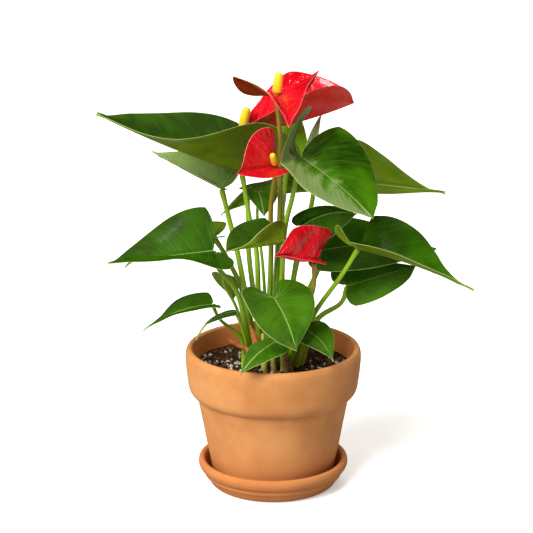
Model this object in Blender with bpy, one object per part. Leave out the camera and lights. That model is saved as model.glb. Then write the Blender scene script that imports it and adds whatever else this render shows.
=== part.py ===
"""Potted anthurium: a terracotta pot on a saucer, soil, a crown of leafy stems, four red flowers.

The origin is the centre of the saucer's underside and +Z is up. Sizes are in metres, except in
the two tables of the plant, which are in millimetres.
"""

import math

import bmesh
import bpy
import numpy as np

GAP = 0.0003  # clearance between pieces that touch
MM = 0.001
SIDES = 48  # facets of the pot and saucer

# Saucer section, radius and height.
SAUCER = [
    (0.0000, 0.0000), (0.0540, 0.0000), (0.0565, 0.0015), (0.0585, 0.0055), (0.0600, 0.0105),
    (0.0632, 0.0138), (0.0664, 0.0165), (0.0675, 0.0200), (0.0666, 0.0232), (0.0645, 0.0245),
    (0.0622, 0.0238), (0.0608, 0.0215), (0.0598, 0.0150), (0.0586, 0.0085), (0.0568, 0.0050),
    (0.0550, 0.0045), (0.0000, 0.0045),
]
POT_Z = 0.0045 + GAP
HOLE_R = 0.0065  # drainage hole
# Pot section from the hole outwards, up the outside, over the rim and down the inside.
POT = [
    (HOLE_R, POT_Z), (0.0515, POT_Z), (0.0535, POT_Z + 0.0015), (0.0560, 0.0200),
    (0.0600, 0.0395), (0.0625, 0.0540), (0.0660, 0.0720), (0.0682, 0.0830), (0.0716, 0.0854),
    (0.0749, 0.0892), (0.0761, 0.0940), (0.0776, 0.1060), (0.0785, 0.1170), (0.0784, 0.1230),
    (0.0771, 0.1266), (0.0748, 0.1280), (0.0726, 0.1270), (0.0715, 0.1240), (0.0698, 0.1080),
    (0.0640, 0.0820), (0.0545, 0.0400), (0.0490, 0.0130), (0.0470, 0.0110), (HOLE_R, 0.0110),
]
SOIL_BOTTOM = 0.0110 + GAP
SOIL_TOP = 0.1100
SOIL = [
    (0.0000, SOIL_BOTTOM), (0.0464, SOIL_BOTTOM), (0.0485, 0.0130), (0.0540, 0.0400),
    (0.0635, 0.0820), (0.0690, 0.1065), (0.0670, 0.1084), (0.0560, 0.1098), (0.0300, SOIL_TOP),
    (0.0000, SOIL_TOP),
]

# Half outlines of a blade: along (0 stalk, 1 tip), across (1 half width), side vein root.
HEART = [
    (-0.10, 0.10, 0.00), (-0.235, 0.28, 0.00), (-0.28, 0.52, 0.00), (-0.215, 0.78, 0.00),
    (-0.06, 0.95, 0.00), (0.12, 1.00, 0.02), (0.34, 0.90, 0.13), (0.56, 0.66, 0.32),
    (0.76, 0.35, 0.56), (0.91, 0.10, 0.82), (1.00, 0.00, 1.00),
]
BROAD = [
    (-0.10, 0.10, 0.00), (-0.235, 0.28, 0.00), (-0.28, 0.52, 0.00), (-0.215, 0.78, 0.00),
    (-0.06, 0.95, 0.00), (0.14, 1.00, 0.02), (0.40, 0.95, 0.13), (0.64, 0.76, 0.32),
    (0.83, 0.46, 0.56), (0.94, 0.17, 0.82), (1.00, 0.00, 1.00),
]
DRIP = [
    (-0.05, 0.12, 0.00), (-0.10, 0.30, 0.00), (-0.11, 0.55, 0.00), (-0.05, 0.80, 0.00),
    (0.05, 0.95, 0.00), (0.20, 1.00, 0.02), (0.40, 0.90, 0.13), (0.57, 0.62, 0.32),
    (0.71, 0.28, 0.56), (0.84, 0.08, 0.82), (1.00, 0.00, 1.00),
]
MIDDLE = [
    (-0.05, 0.10, 0.00), (-0.08, 0.25, 0.00), (-0.06, 0.45, 0.00), (0.02, 0.64, 0.00),
    (0.14, 0.82, 0.00), (0.28, 0.95, 0.02), (0.44, 1.00, 0.13), (0.59, 0.68, 0.32),
    (0.74, 0.33, 0.56), (0.89, 0.06, 0.82), (1.00, 0.00, 1.00),
]
CURLED = [
    (-0.10, 0.12, 0.00), (-0.22, 0.40, 0.00), (-0.29, 0.72, 0.00), (-0.25, 0.88, 0.00),
    (-0.10, 0.66, 0.00), (0.12, 0.72, 0.02), (0.40, 0.92, 0.13), (0.64, 0.76, 0.32),
    (0.83, 0.46, 0.56), (0.94, 0.17, 0.82), (1.00, 0.00, 1.00),
]
CUPPED = [
    (-0.10, 0.22, 0.00), (-0.20, 0.52, 0.00), (-0.20, 0.82, 0.00), (-0.08, 1.00, 0.00),
    (0.10, 1.00, 0.00), (0.30, 0.82, 0.02), (0.46, 0.52, 0.13), (0.58, 0.26, 0.32),
    (0.72, 0.10, 0.56), (0.88, 0.03, 0.82), (1.00, 0.00, 1.00),
]
SPATHE = [
    (-0.12, 0.06, 0.00), (-0.27, 0.26, 0.00), (-0.32, 0.52, 0.00), (-0.24, 0.80, 0.00),
    (-0.05, 0.97, 0.00), (0.17, 1.00, 0.03), (0.42, 0.90, 0.15), (0.64, 0.67, 0.34),
    (0.82, 0.36, 0.58), (0.93, 0.12, 0.83), (1.00, 0.00, 1.00),
]
WING = [
    (-0.10, 0.12, 0.00), (-0.22, 0.40, 0.00), (-0.27, 0.72, 0.00), (-0.22, 0.93, 0.00),
    (-0.08, 1.00, 0.00), (0.07, 0.90, 0.03), (0.25, 0.63, 0.15), (0.46, 0.43, 0.34),
    (0.66, 0.27, 0.58), (0.85, 0.11, 0.83), (1.00, 0.00, 1.00),
]
FLAG = [
    (0.00, 0.30, 0.00), (0.00, 0.60, 0.00), (0.02, 0.85, 0.00), (0.10, 0.98, 0.00),
    (0.25, 1.00, 0.00), (0.42, 0.91, 0.03), (0.56, 0.73, 0.15), (0.70, 0.44, 0.34),
    (0.82, 0.19, 0.58), (0.92, 0.06, 0.83), (1.00, 0.00, 1.00),
]
LEANING = [
    (-0.10, 0.30, 0.00), (-0.20, 0.60, 0.00), (-0.28, 0.86, 0.00), (-0.18, 0.98, 0.00),
    (0.00, 1.00, 0.00), (0.20, 1.00, 0.03), (0.42, 0.94, 0.15), (0.62, 0.78, 0.34),
    (0.78, 0.45, 0.58), (0.90, 0.14, 0.83), (1.00, 0.00, 1.00),
]
SPATHE_FAR = [
    (-0.02, 0.08, 0.00), (-0.04, 0.17, 0.00), (-0.03, 0.27, 0.00), (0.03, 0.38, 0.00),
    (0.12, 0.53, 0.02), (0.28, 0.79, 0.08), (0.50, 1.00, 0.24), (0.71, 0.86, 0.45),
    (0.88, 0.59, 0.68), (0.98, 0.28, 0.88), (1.00, 0.00, 1.00),
]
SPATHE_NEAR = [
    (0.00, 0.08, 0.00), (0.00, 0.18, 0.00), (0.01, 0.30, 0.00), (0.04, 0.44, 0.00),
    (0.12, 0.60, 0.02), (0.28, 0.78, 0.08), (0.50, 0.90, 0.24), (0.72, 1.00, 0.45),
    (0.90, 0.86, 0.68), (0.99, 0.46, 0.88), (1.00, 0.00, 1.00),
]

# One entry per leaf. stalk: where the petiole meets the blade. tip: the drip tip. width: half
# width over length. left, right: how far each half rises, in degrees, at the stalk and at the tip.
# curl: how much further each back lobe rises, in degrees.
# stem: the petiole from the soil up. All in mm.
LEAVES = {
    "upper_left": dict(
        stalk=(-27, 6, 286), tip=(-148, -56, 351), width=0.36, left=(60, 12), right=(48, 38),
        arch=-0.02, relax=(0.7, 0.7), share=(1.03, 1), lobe=(1, 0.3),
        stem=[(-13, 1), (-14, 2, 205), (-21, 3, 246)]),
    "second_left": dict(
        stalk=(-45, 10, 270), tip=(-108, 40, 297), width=0.40, left=(26, 24), right=(50, 46),
        arch=-0.01, lobe=(0.5, 0.3), stem=[(-14, 8), (-30, 8, 204), (-39, 10, 243)], thick=2.3),
    "back_left": dict(
        stalk=(-24, 26, 262), tip=(-47, 30, 240), width=0.42, left=(-30, -20), right=(10, 0),
        arch=0.04, lobe=(0.5, 0.5), stem=[(-9, 16), (-21, 20, 200), (-22, 23, 238)]),
    "lower_left": dict(
        stalk=(-52, -20, 222), tip=(-142, -50, 219), width=0.43, left=(-10, 12), right=(60, 24),
        arch=0.0, relax=(0.5, 0.9), lobe=(0.42, 0.15), share=(0.98, 1),
        stem=[(-19, -4), (-30, -10, 176), (-48, -16, 205)]),
    "lower_left_back": dict(
        stalk=(-53, 26, 222), tip=(-135, 50, 186), width=0.34, left=(16, 10), right=(14, 6),
        arch=0.08, lobe=(0.6, 0.25), stem=[(-20, 13), (-26, 19, 167), (-40, 24, 200)]),
    "folded": dict(
        stalk=(8, -30, 232), tip=(-40, -78, 238), width=0.46, left=(104, 90), right=(38, 32),
        arch=0.0, share=(0.62, 0.95), lobe=(0.5, 0.2), outline=(CUPPED, BROAD),
        stem=[(4, -12), (6, -14, 172), (8, -25, 208)]),
    "nodding": dict(
        stalk=(-13, 24, 263), tip=(-8, 2, 246), width=0.65, left=(5, 5), right=(5, 5),
        arch=0.10, share=(0.9, 0.62), stem=[(-4, 16), (-9, 21, 193), (-14, 26, 236)], thick=1.4),
    "front_right": dict(
        stalk=(24, -25, 307), tip=(84, -72, 265), width=0.57, left=(26, 5), right=(2, 0),
        arch=0.03, relax=(0.9, 0.6), lobe=(0.3, 0.6), lift=(0, 0.5), curl=(0, 175),
        share=(1, 0.88), outline=(BROAD, CURLED), stem=[(7, -7), (9, -12, 225), (17, -20, 272)]),
    "back_right": dict(
        stalk=(10, 62, 265), tip=(156, 62, 253), width=0.315, left=(46, 46), right=(-12, -10),
        arch=0.02, share=(1, 0.6), outline=(MIDDLE, HEART),
        stem=[(12, 11), (7, 26, 205), (8, 50, 240)]),
    "upright": dict(
        stalk=(12, 39, 283), tip=(24, 69, 327), width=0.37, left=(8, 5), right=(8, 5),
        arch=0.10, lobe=(0.6, 0.6), stem=[(3, 16), (4, 24, 216), (9, 32, 252)]),
    "furled": dict(
        stalk=(34, 30, 295), tip=(43, 46, 331), width=0.17, left=(40, 30), right=(40, 30),
        arch=0.04, lobe=(0.2, 0.2), stem=[(8, 19), (22, 25, 207), (35, 29, 256)]),
    "mid_right": dict(
        stalk=(26, 8, 237), tip=(73, -8, 252), width=0.62, left=(112, 108), right=(-34, -48),
        arch=0.10, share=(0.4, 0.9), lobe=(0.4, 0.3), outline=(HEART, BROAD),
        stem=[(13, 2), (17, 6, 178), (23, 8, 212)]),
    "lower_right": dict(
        stalk=(74, -20, 224), tip=(172, -60, 198), width=0.365, left=(40, 22), right=(29, 26),
        arch=0.03, lobe=(0, 0.7), curl=(0, 50), outline=(DRIP, HEART), share=(1, 0.8),
        stem=[(20, -9), (34, -12, 157), (60, -18, 199)], thick=2.1),
    "low_right": dict(
        stalk=(66, 10, 181), tip=(128, 20, 197), width=0.44, left=(30, 30), right=(-26, -22),
        arch=0.0, lobe=(0.6, 0.25), outline=(HEART, BROAD), stem=[(24, -2), (38, 2, 150), (60, 8, 165)]),
    "lower_right_back": dict(
        stalk=(43, 20, 211), tip=(147, 40, 206), width=0.34, left=(36, 30), right=(-17, -20),
        arch=0.05, lobe=(0.3, 0.55), outline=(HEART, BROAD),
        stem=[(19, 4), (29, 10, 168), (40, 16, 194)]),
    "front": dict(
        stalk=(1, -45, 186), tip=(20, -84, 151), width=0.65, left=(12, 5), right=(10, 5),
        arch=0.08, lobe=(1.3, 1.1), share=(0.91, 0.90), outline=(HEART, BROAD),
        stem=[(0, -15), (-1, -26, 156), (-1, -38, 175)]),
    "over_rim": dict(
        stalk=(1, -60, 151), tip=(-28, -92, 132), width=0.50, left=(-22, -12), right=(-4, 0),
        arch=0.08, share=(0.66, 0.66), lobe=(0.5, 0.7),
        stem=[(-7, -21), (-5, -32, 134), (0, -50, 144)], thick=1.4),
    "small_right": dict(
        stalk=(26, -34, 155), tip=(52, -64, 135), width=0.60, left=(8, 8), right=(4, 6),
        arch=0.12, lobe=(0.7, 0.6), share=(0.76, 1),
        stem=[(14, -20), (17, -24, 136), (24, -32, 149)], thick=1.4),
    "small_left": dict(
        stalk=(-53, -30, 176), tip=(-112, -56, 160), width=0.25, left=(2, 10), right=(26, 16),
        arch=0.08, lobe=(0.7, 0.4), outline=(DRIP, DRIP), share=(0.8, 1),
        stem=[(-26, -13), (-28, -17, 140), (-46, -25, 160)], thick=1.4),
    "arching": dict(
        stalk=(-33, -35, 171), tip=(-67, -44, 148), width=0.12, left=(-30, -10), right=(0, 0),
        arch=0.16, lobe=(0.3, 0.3), outline=(DRIP, DRIP),
        stem=[(-20, -12), (-24, -24, 141), (-29, -33, 161)], thick=1.3),
    "inner_left": dict(
        stalk=(-44, 8, 190), tip=(-36, 20, 163), width=0.44, left=(0, 0), right=(0, 0),
        arch=0.05, lobe=(0.6, 0.6), stem=[(-23, 3), (-31, 1, 158), (-43, 1, 183)], thick=1.3),
}

# One entry per flower, as for the leaves. spadix: base, top and radius of the spike.
FLOWERS = {
    "top": dict(
        stalk=(3, -26, 358), tip=(13, -96, 348), width=0.50, left=(33, 16), right=(29, 52),
        arch=0.06, lift=(-0.78, -0.66), lobe=(1.0, 0.9), share=(1.24, 1.17), relax=(0.8, 0.8),
        outline=(WING, WING), stem=[(1, -3), (4, -3, 208), (6, -9, 265), (6, -18, 320)],
        spadix=[(3, -23, 360), (5, -22, 380), 4.1]),
    "back": dict(
        stalk=(-20, 25, 318), tip=(71, 33, 342.5), width=0.46, left=(76, 54), right=(38, 48),
        arch=-0.03, share=(1.06, 0.93), lobe=(0.2, 0), outline=(SPATHE_FAR, SPATHE_NEAR),
        stem=[(-2, 9), (3, 9, 203), (8, 15, 250), (2, 21, 285), (-10, 23, 306)],
        spadix=[(-27, 22, 321), (-23, 20, 341), 4.2]),
    "middle": dict(
        stalk=(2, -28, 299), tip=(-31, -66, 302), width=0.69, left=(-2, -18), right=(86, 72),
        arch=0.0, lobe=(0.15, 0), share=(0.6, 1), outline=(SPATHE, FLAG),
        stem=[(-6, 0), (-2, -9, 208), (-2, -12, 256), (1, -21, 284)],
        spadix=[(2, -32, 301.5), (-1, -40, 313), 3.0]),
    "low": dict(
        stalk=(36, -33, 216), tip=(1, -61, 229), width=0.66, left=(6, 10), right=(85, 74),
        arch=0.0, lobe=(0.4, 1), share=(0.4, 1), outline=(SPATHE, LEANING),
        stem=[(12, -13), (28, -20, 166), (35, -26, 190)],
        spadix=[(36, -28, 221), (31, -28, 231), 2.8]),
}

BLADE_THICK = 0.8 * MM
SPATHE_THICK = 0.9 * MM
LOBE_REACH = 0.28  # how far behind the stalk a full back lobe goes, over the blade's length
STALK_R = 2.2  # mm, unless the table says otherwise
STALK_DROP = 1.9 * MM  # from the blade down to the end of its stalk
STALK_END_R = 1.0 * MM
STALK_RINGS = 12
JOIN = 2e-5  # vertices nearer than this are one


def material(name, colour, roughness):
    made = bpy.data.materials.new(name)
    made.use_nodes = True
    shader = made.node_tree.nodes["Principled BSDF"]
    shader.inputs["Base Color"].default_value = (*colour, 1)
    shader.inputs["Roughness"].default_value = roughness
    shader.inputs["Metallic"].default_value = 0
    return made


def add(name, bm, mat):
    """A mesh object of the scene from a bmesh, with its normals facing out."""
    bmesh.ops.remove_doubles(bm, verts=bm.verts, dist=JOIN / 2)
    bmesh.ops.recalc_face_normals(bm, faces=bm.faces)
    mesh = bpy.data.meshes.new(name)
    bm.to_mesh(mesh)
    bm.free()
    obj = bpy.data.objects.new(name, mesh)
    mesh.materials.append(mat)
    bpy.context.scene.collection.objects.link(obj)
    return obj


def unit(v):
    return v / np.linalg.norm(v, axis=-1, keepdims=True)


def through(points, t):
    """Catmull-Rom curve through the points, at each t from 0 to 1."""
    points = np.asarray(points, float)
    count = len(points) - 1
    x = np.clip(np.asarray(t, float) * count, 0, count - 1e-9)
    i = x.astype(int)
    f = (x - i)[:, None]
    p = np.vstack([2 * points[0] - points[1], points, 2 * points[-1] - points[-2]])
    a, b, c, d = p[i], p[i + 1], p[i + 2], p[i + 3]
    cubic = (3 * b - a - 3 * c + d) * f**3
    return 0.5 * (2 * b + (c - a) * f + (2 * a - 5 * b + 4 * c - d) * f**2 + cubic)


def grid_faces(bm, rows, closed=False):
    """Quads between neighbouring rows of vertices."""
    for low, high in zip(rows, rows[1:]):
        count = len(low)
        for i in range(count if closed else count - 1):
            j = (i + 1) % count
            bm.faces.new((low[i], low[j], high[j], high[i]))


def turned(name, section, mat, bumps=None):
    """A solid turned about Z. A section that ends on the axis is closed there by one vertex."""
    bm = bmesh.new()
    rows = []
    for radius, height in section:
        if radius == 0:
            rows.append([bm.verts.new((0, 0, height))])
            continue
        ring = []
        for i in range(SIDES):
            angle = 2 * math.pi * i / SIDES
            extra = bumps(radius, height, angle) if bumps else 0
            x = radius * math.cos(angle)
            y = radius * math.sin(angle)
            ring.append(bm.verts.new((x, y, height + extra)))
        rows.append(ring)
    pairs = list(zip(rows, rows[1:]))
    if section[0][0] != 0:
        pairs.append((rows[-1], rows[0]))
    for low, high in pairs:
        for i in range(SIDES):
            j = (i + 1) % SIDES
            if len(low) == 1:
                bm.faces.new((low[0], high[j], high[i]))
            elif len(high) == 1:
                bm.faces.new((low[i], low[j], high[0]))
            else:
                bm.faces.new((low[i], low[j], high[j], high[i]))
    return add(name, bm, mat)


def blade_frame(leaf):
    """Length, chord direction, upper side and right side of a blade."""
    start = np.array(leaf["stalk"], float) * MM
    end = np.array(leaf["tip"], float) * MM
    length = np.linalg.norm(end - start)
    chord = (end - start) / length
    up = np.array([0.0, 0.0, 1.0])
    top = unit(up - (up @ chord) * chord)
    return start, end, length, chord, top, np.cross(chord, top)


def blade_sheet(leaf, along, across):
    """Points of the blade's mid surface: two halves of (along + 1) x (across + 1) points."""
    start, end, length, chord, top, side = blade_frame(leaf)
    knee = (start + end) / 2 + top * leaf["arch"] * 2 * length
    first = unit(knee - start)
    halves = []
    v = np.linspace(0, 1, across + 1)
    for index, sign in ((0, -1), (1, 1)):
        outline = leaf.get("outline", (HEART, HEART))[index]
        shape = through(outline, np.linspace(0, 1, along + 1))
        lobe = leaf.get("lobe", (1, 1))[index]
        lift = leaf.get("lift", (0, 0))[index]
        curl = leaf.get("curl", (0, 0))[index]
        share = leaf.get("share", (1, 1))[index]
        relax = leaf.get("relax", (0.8, 0.8))[index]
        angles = leaf["left"] if index == 0 else leaf["right"]
        out_along = np.where(shape[:, 0] < 0, shape[:, 0] * lobe, shape[:, 0])
        root = np.clip(shape[:, 2], 0, 1)
        a = root[:, None] + (out_along - root)[:, None] * v[None, :]
        b = np.maximum(shape[:, 1], 0)[:, None] * v[None, :] * leaf["width"] * length * share
        s = np.clip(a / relax, 0, 1)
        s = s * s * (3 - 2 * s)
        rise = angles[0] + (angles[1] - angles[0]) * s
        rise = np.radians(rise + curl * np.clip(-a / LOBE_REACH, 0, 1))
        t = np.clip(a, 0, 1)[..., None]
        back = np.minimum(a, 0)[..., None]
        rib = (1 - t) ** 2 * start + 2 * t * (1 - t) * knee + t * t * end
        rib = rib + back * first * length + back**2 * top * lift * length * 4
        heading = unit((1 - t) * (knee - start) + t * (end - knee))
        normal = unit(top - (heading @ top)[..., None] * heading)
        sideways = np.cross(heading, normal)
        halves.append(
            rib
            + sign * sideways * (b * np.cos(rise))[..., None]
            + normal * (b * np.sin(rise))[..., None]
        )
    return halves


def blade(name, leaf, mat, thick, along=8, across=2):
    """A thin closed blade: the sheet given thickness by Solidify."""
    bm = bmesh.new()
    for half in blade_sheet(leaf, along, across):
        grid_faces(bm, [[bm.verts.new(point) for point in row] for row in half])
    bmesh.ops.remove_doubles(bm, verts=bm.verts, dist=JOIN)
    bmesh.ops.dissolve_degenerate(bm, dist=JOIN / 20, edges=bm.edges)
    obj = add(name, bm, mat)
    solid = obj.modifiers.new("thickness", "SOLIDIFY")
    solid.thickness = thick
    solid.offset = 0
    solid.use_even_offset = False
    return obj


def tube(name, path, radii, mat, sides=6, upright=False):
    """A closed tube along a path."""
    path = np.asarray(path)
    heading = unit(np.gradient(path, axis=0))
    if upright:
        heading[0] = (0, 0, 1)
    across = unit(np.cross(heading, np.array([0.35, 1.0, 0.12])))
    other = np.cross(heading, across)
    bm = bmesh.new()
    rows = []
    for point, u, w, radius in zip(path, across, other, radii):
        ring = []
        for i in range(sides):
            angle = 2 * math.pi * i / sides
            ring.append(bm.verts.new(point + radius * (u * math.cos(angle) + w * math.sin(angle))))
        rows.append(ring)
    grid_faces(bm, rows, closed=True)
    bm.faces.new(rows[0][::-1])
    bm.faces.new(rows[-1])
    return add(name, bm, mat)


def stem(name, leaf, mat):
    """A petiole or peduncle, from the soil to just under the blade."""
    start, _end, _length, _chord, top, _side = blade_frame(leaf)
    points = [(*leaf["stem"][0], (SOIL_TOP + GAP) / MM), *leaf["stem"][1:]]
    points = [np.array(point, float) * MM for point in points]
    path = through([*points, start - top * STALK_DROP], np.linspace(0, 1, STALK_RINGS))
    thick = leaf.get("thick", STALK_R) * MM
    radii = np.linspace(thick * 1.15, thick * 0.72, STALK_RINGS)
    radii[-1] = STALK_END_R
    return tube(name, path, radii, mat, upright=True)


def spadix(name, spec, mat):
    """The spike: a blunt finger on a narrow neck."""
    base = np.array(spec[0], float) * MM
    top = np.array(spec[1], float) * MM
    radius = spec[2] * MM
    t = np.array([0.0, 0.08, 0.22, 0.5, 0.8, 0.93, 1.0])
    share = np.array([0.35, 0.62, 0.96, 1.0, 0.90, 0.66, 0.25])
    path = base + (top - base) * t[:, None]
    return tube(name, path, radius * share, mat, sides=10)


def crown(name, mat):
    """The short stem that the petioles rise around."""
    path = np.array([(-1.5, 3, 110.4), (-1.5, 3, 114), (-2, 3, 119), (-2.5, 3.5, 123)]) * MM
    return tube(name, path, np.array([3.0, 3.0, 2.4, 1.4]) * MM, mat, sides=8, upright=True)


def sheath(name, points, radii, mat):
    """A dry brown leaf sheath at the foot of the stems."""
    path = through(np.array(points, float) * MM, np.linspace(0, 1, 7))
    return tube(name, path, np.array(radii) * MM, mat, sides=6)


def soil_bumps(radius, height, angle):
    if height < 0.105 or radius < 0.035:
        return 0
    return 0.0012 * math.sin(3 * angle + 40 * radius) * math.sin(5 * angle + 1.3) * radius / 0.06


def main():
    for obj in list(bpy.data.objects):
        bpy.data.objects.remove(obj)
    terracotta = material("terracotta", (0.72, 0.33, 0.12), 0.85)
    dark_soil = material("soil", (0.03, 0.015, 0.008), 0.95)
    green = material("leaf", (0.04, 0.16, 0.015), 0.35)
    stalk_green = material("petiole", (0.22, 0.42, 0.03), 0.4)
    red = material("spathe", (0.75, 0.01, 0.02), 0.2)
    yellow = material("spadix", (0.85, 0.62, 0.04), 0.5)
    brown_stalk = material("peduncle", (0.28, 0.30, 0.04), 0.4)
    husk = material("sheath", (0.42, 0.16, 0.04), 0.7)
    turned("saucer", SAUCER, terracotta)
    turned("pot", POT, terracotta)
    turned("soil", SOIL, dark_soil, soil_bumps)
    crown("crown", stalk_green)
    sheath(
        "dry_sheath_left", [(-18.5, -27, 131), (-24, -27.5, 134.5), (-30, -27.5, 137.5), (-38, -27, 142)],
        [1.4, 2.2, 2.4, 2.2, 1.9, 1.4, 0.7], husk)
    sheath(
        "dry_sheath_tall", [(-11, -24, 122), (-13, -26, 134), (-16, -28, 145), (-20, -28, 156)],
        [1.8, 3.4, 3.8, 3.4, 2.4, 1.4, 0.7], husk)
    for key, leaf in LEAVES.items():
        blade("leaf_" + key, leaf, green, BLADE_THICK)
        stem("petiole_" + key, leaf, stalk_green)
    for key, flower in FLOWERS.items():
        blade("spathe_" + key, flower, red, SPATHE_THICK, along=10, across=3)
        stem("peduncle_" + key, flower, brown_stalk)
        spadix("spadix_" + key, flower["spadix"], yellow)


main()
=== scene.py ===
"""Looks of the potted anthurium.

A terracotta pot on its saucer, peaty soil with perlite and bark, a crown of leafy stems and four waxy red
flowers. Lengths are in metres, except in the tables of the plant and where a name ends in _mm.
"""

import math

import bmesh
import bpy
import numpy as np
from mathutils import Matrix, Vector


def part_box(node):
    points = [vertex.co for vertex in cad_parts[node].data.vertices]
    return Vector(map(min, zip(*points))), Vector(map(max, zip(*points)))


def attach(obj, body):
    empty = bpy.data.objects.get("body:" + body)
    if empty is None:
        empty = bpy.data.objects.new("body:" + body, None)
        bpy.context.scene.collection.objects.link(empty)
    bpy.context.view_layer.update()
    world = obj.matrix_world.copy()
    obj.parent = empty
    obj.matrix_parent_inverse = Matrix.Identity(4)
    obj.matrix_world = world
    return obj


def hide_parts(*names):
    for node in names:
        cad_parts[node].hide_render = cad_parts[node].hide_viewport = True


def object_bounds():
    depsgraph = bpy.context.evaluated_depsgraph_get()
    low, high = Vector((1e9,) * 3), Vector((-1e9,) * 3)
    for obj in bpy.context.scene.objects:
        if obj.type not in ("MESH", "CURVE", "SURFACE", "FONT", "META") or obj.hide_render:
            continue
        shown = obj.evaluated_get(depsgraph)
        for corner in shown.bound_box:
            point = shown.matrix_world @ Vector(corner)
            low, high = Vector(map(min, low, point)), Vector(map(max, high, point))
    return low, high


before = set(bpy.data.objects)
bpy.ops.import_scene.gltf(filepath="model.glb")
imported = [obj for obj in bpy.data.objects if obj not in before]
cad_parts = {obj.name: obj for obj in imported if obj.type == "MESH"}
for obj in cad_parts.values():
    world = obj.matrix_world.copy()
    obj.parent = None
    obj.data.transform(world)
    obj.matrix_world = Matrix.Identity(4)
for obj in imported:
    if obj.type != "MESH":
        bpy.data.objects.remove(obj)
cad_box = [list(corner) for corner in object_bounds()]

MM = 0.001
SEED = 11
SOIL_TOP = 0.1100
SOIL_REACH = 0.0692  # radius of the bed of soil
VEINS = 11  # side veins in each half of a blade

LENS_MM = 135.9
CAMERA_PLACE = (0.0, -1.707, 0.699)
CAMERA_TILT_DEG = 73.76  # 90 is level
CAMERA_YAW_DEG = 0.20
FLOOR_REACH = 40.0

# ---------------------------------------------------------------- camera, light and floor


def placed(name, data):
    """A new object in the scene."""
    obj = bpy.data.objects.new(name, data)
    bpy.context.scene.collection.objects.link(obj)
    return obj


def make_camera():
    """A long lens a little above the plant, looking slightly down."""
    data = bpy.data.cameras.new("camera")
    data.sensor_width = 36
    data.lens = LENS_MM
    data.clip_start = 0.1
    data.clip_end = 50
    camera = placed("camera", data)
    camera.location = CAMERA_PLACE
    camera.rotation_euler = (math.radians(CAMERA_TILT_DEG), 0, math.radians(CAMERA_YAW_DEG))
    bpy.context.scene.camera = camera


def area_light(name, place, aim, size, watts):
    """A white rectangular lamp at place that shines towards aim."""
    data = bpy.data.lights.new(name, "AREA")
    data.shape = "RECTANGLE"
    data.size = size[0]
    data.size_y = size[1]
    data.energy = watts
    light = placed(name, data)
    light.location = place
    light.rotation_euler = aimed(np.array(aim) - np.array(place))
    return light


def aimed(way):
    """Euler angles that turn a lamp's -Z along a direction."""
    x, y, z = unit(np.array(way, float))
    return (math.acos(-z), 0, math.atan2(-x, y))


def ground(name, drop, tone, glow=0.0):
    """A flat sheet of paper far wider than the view. glow is the strength of its own light."""
    mesh = bpy.data.meshes.new(name)
    corners = [(x * FLOOR_REACH, y * FLOOR_REACH, 0) for x, y in ((-1, -1), (1, -1), (1, 1), (-1, 1))]
    mesh.from_pydata(corners, [], [(0, 1, 2, 3)])
    sheet = placed(name, mesh)
    sheet.location.z = cad_box[0][2] - drop
    paper = Nodes(name)
    paper.surface(Base_Color=(tone, tone, tone), Roughness=0.9, Specular_IOR_Level=0.1)
    paper.surface(Emission_Color=(1.0, 1.0, 1.0), Emission_Strength=glow)
    mesh.materials.append(paper.material)
    return sheet


def make_stage():
    """A pale floor, an even dome, a soft key from the upper left and softboxes, two of them for gloss."""
    scene = bpy.context.scene
    scene.view_settings.view_transform = "Standard"
    world = bpy.data.worlds.new("studio")
    world.use_nodes = True
    dome = world.node_tree.nodes["Background"].inputs
    dome["Color"].default_value = (1.0, 0.93, 0.82, 1)
    dome["Strength"].default_value = 0.42
    world.cycles_visibility.glossy = False
    scene.world = world
    sun = bpy.data.lights.new("key", "SUN")
    sun.energy = 4.2
    sun.angle = math.radians(38)
    sun.color = (1.0, 0.99, 0.98)
    key = placed("key", sun)
    key.rotation_euler = aimed((0.64, 0.77, -0.80))
    key.visible_glossy = False
    area_light("softbox_left", (-1.1, -0.75, 1.05), (0, 0, 0.25), (0.35, 0.35), watts=1.5)
    area_light("softbox_top", (-0.15, -1.0, 2.0), (0, 0, 0.3), (0.30, 0.30), watts=11)
    back = area_light("softbox_back", (0.25, 1.2, 1.25), (0, 0, 0.28), (0.9, 0.35), watts=8)
    back.visible_glossy = False
    floor = ground("floor", drop=0.0002, tone=0.95, glow=0.35)
    floor.visible_diffuse = False
    floor.visible_glossy = False
    floor.visible_shadow = False
    bounce = ground("floor_bounce", drop=0.0004, tone=0.46)
    bounce.visible_camera = False


# ---------------------------------------------------------------- materials


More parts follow.
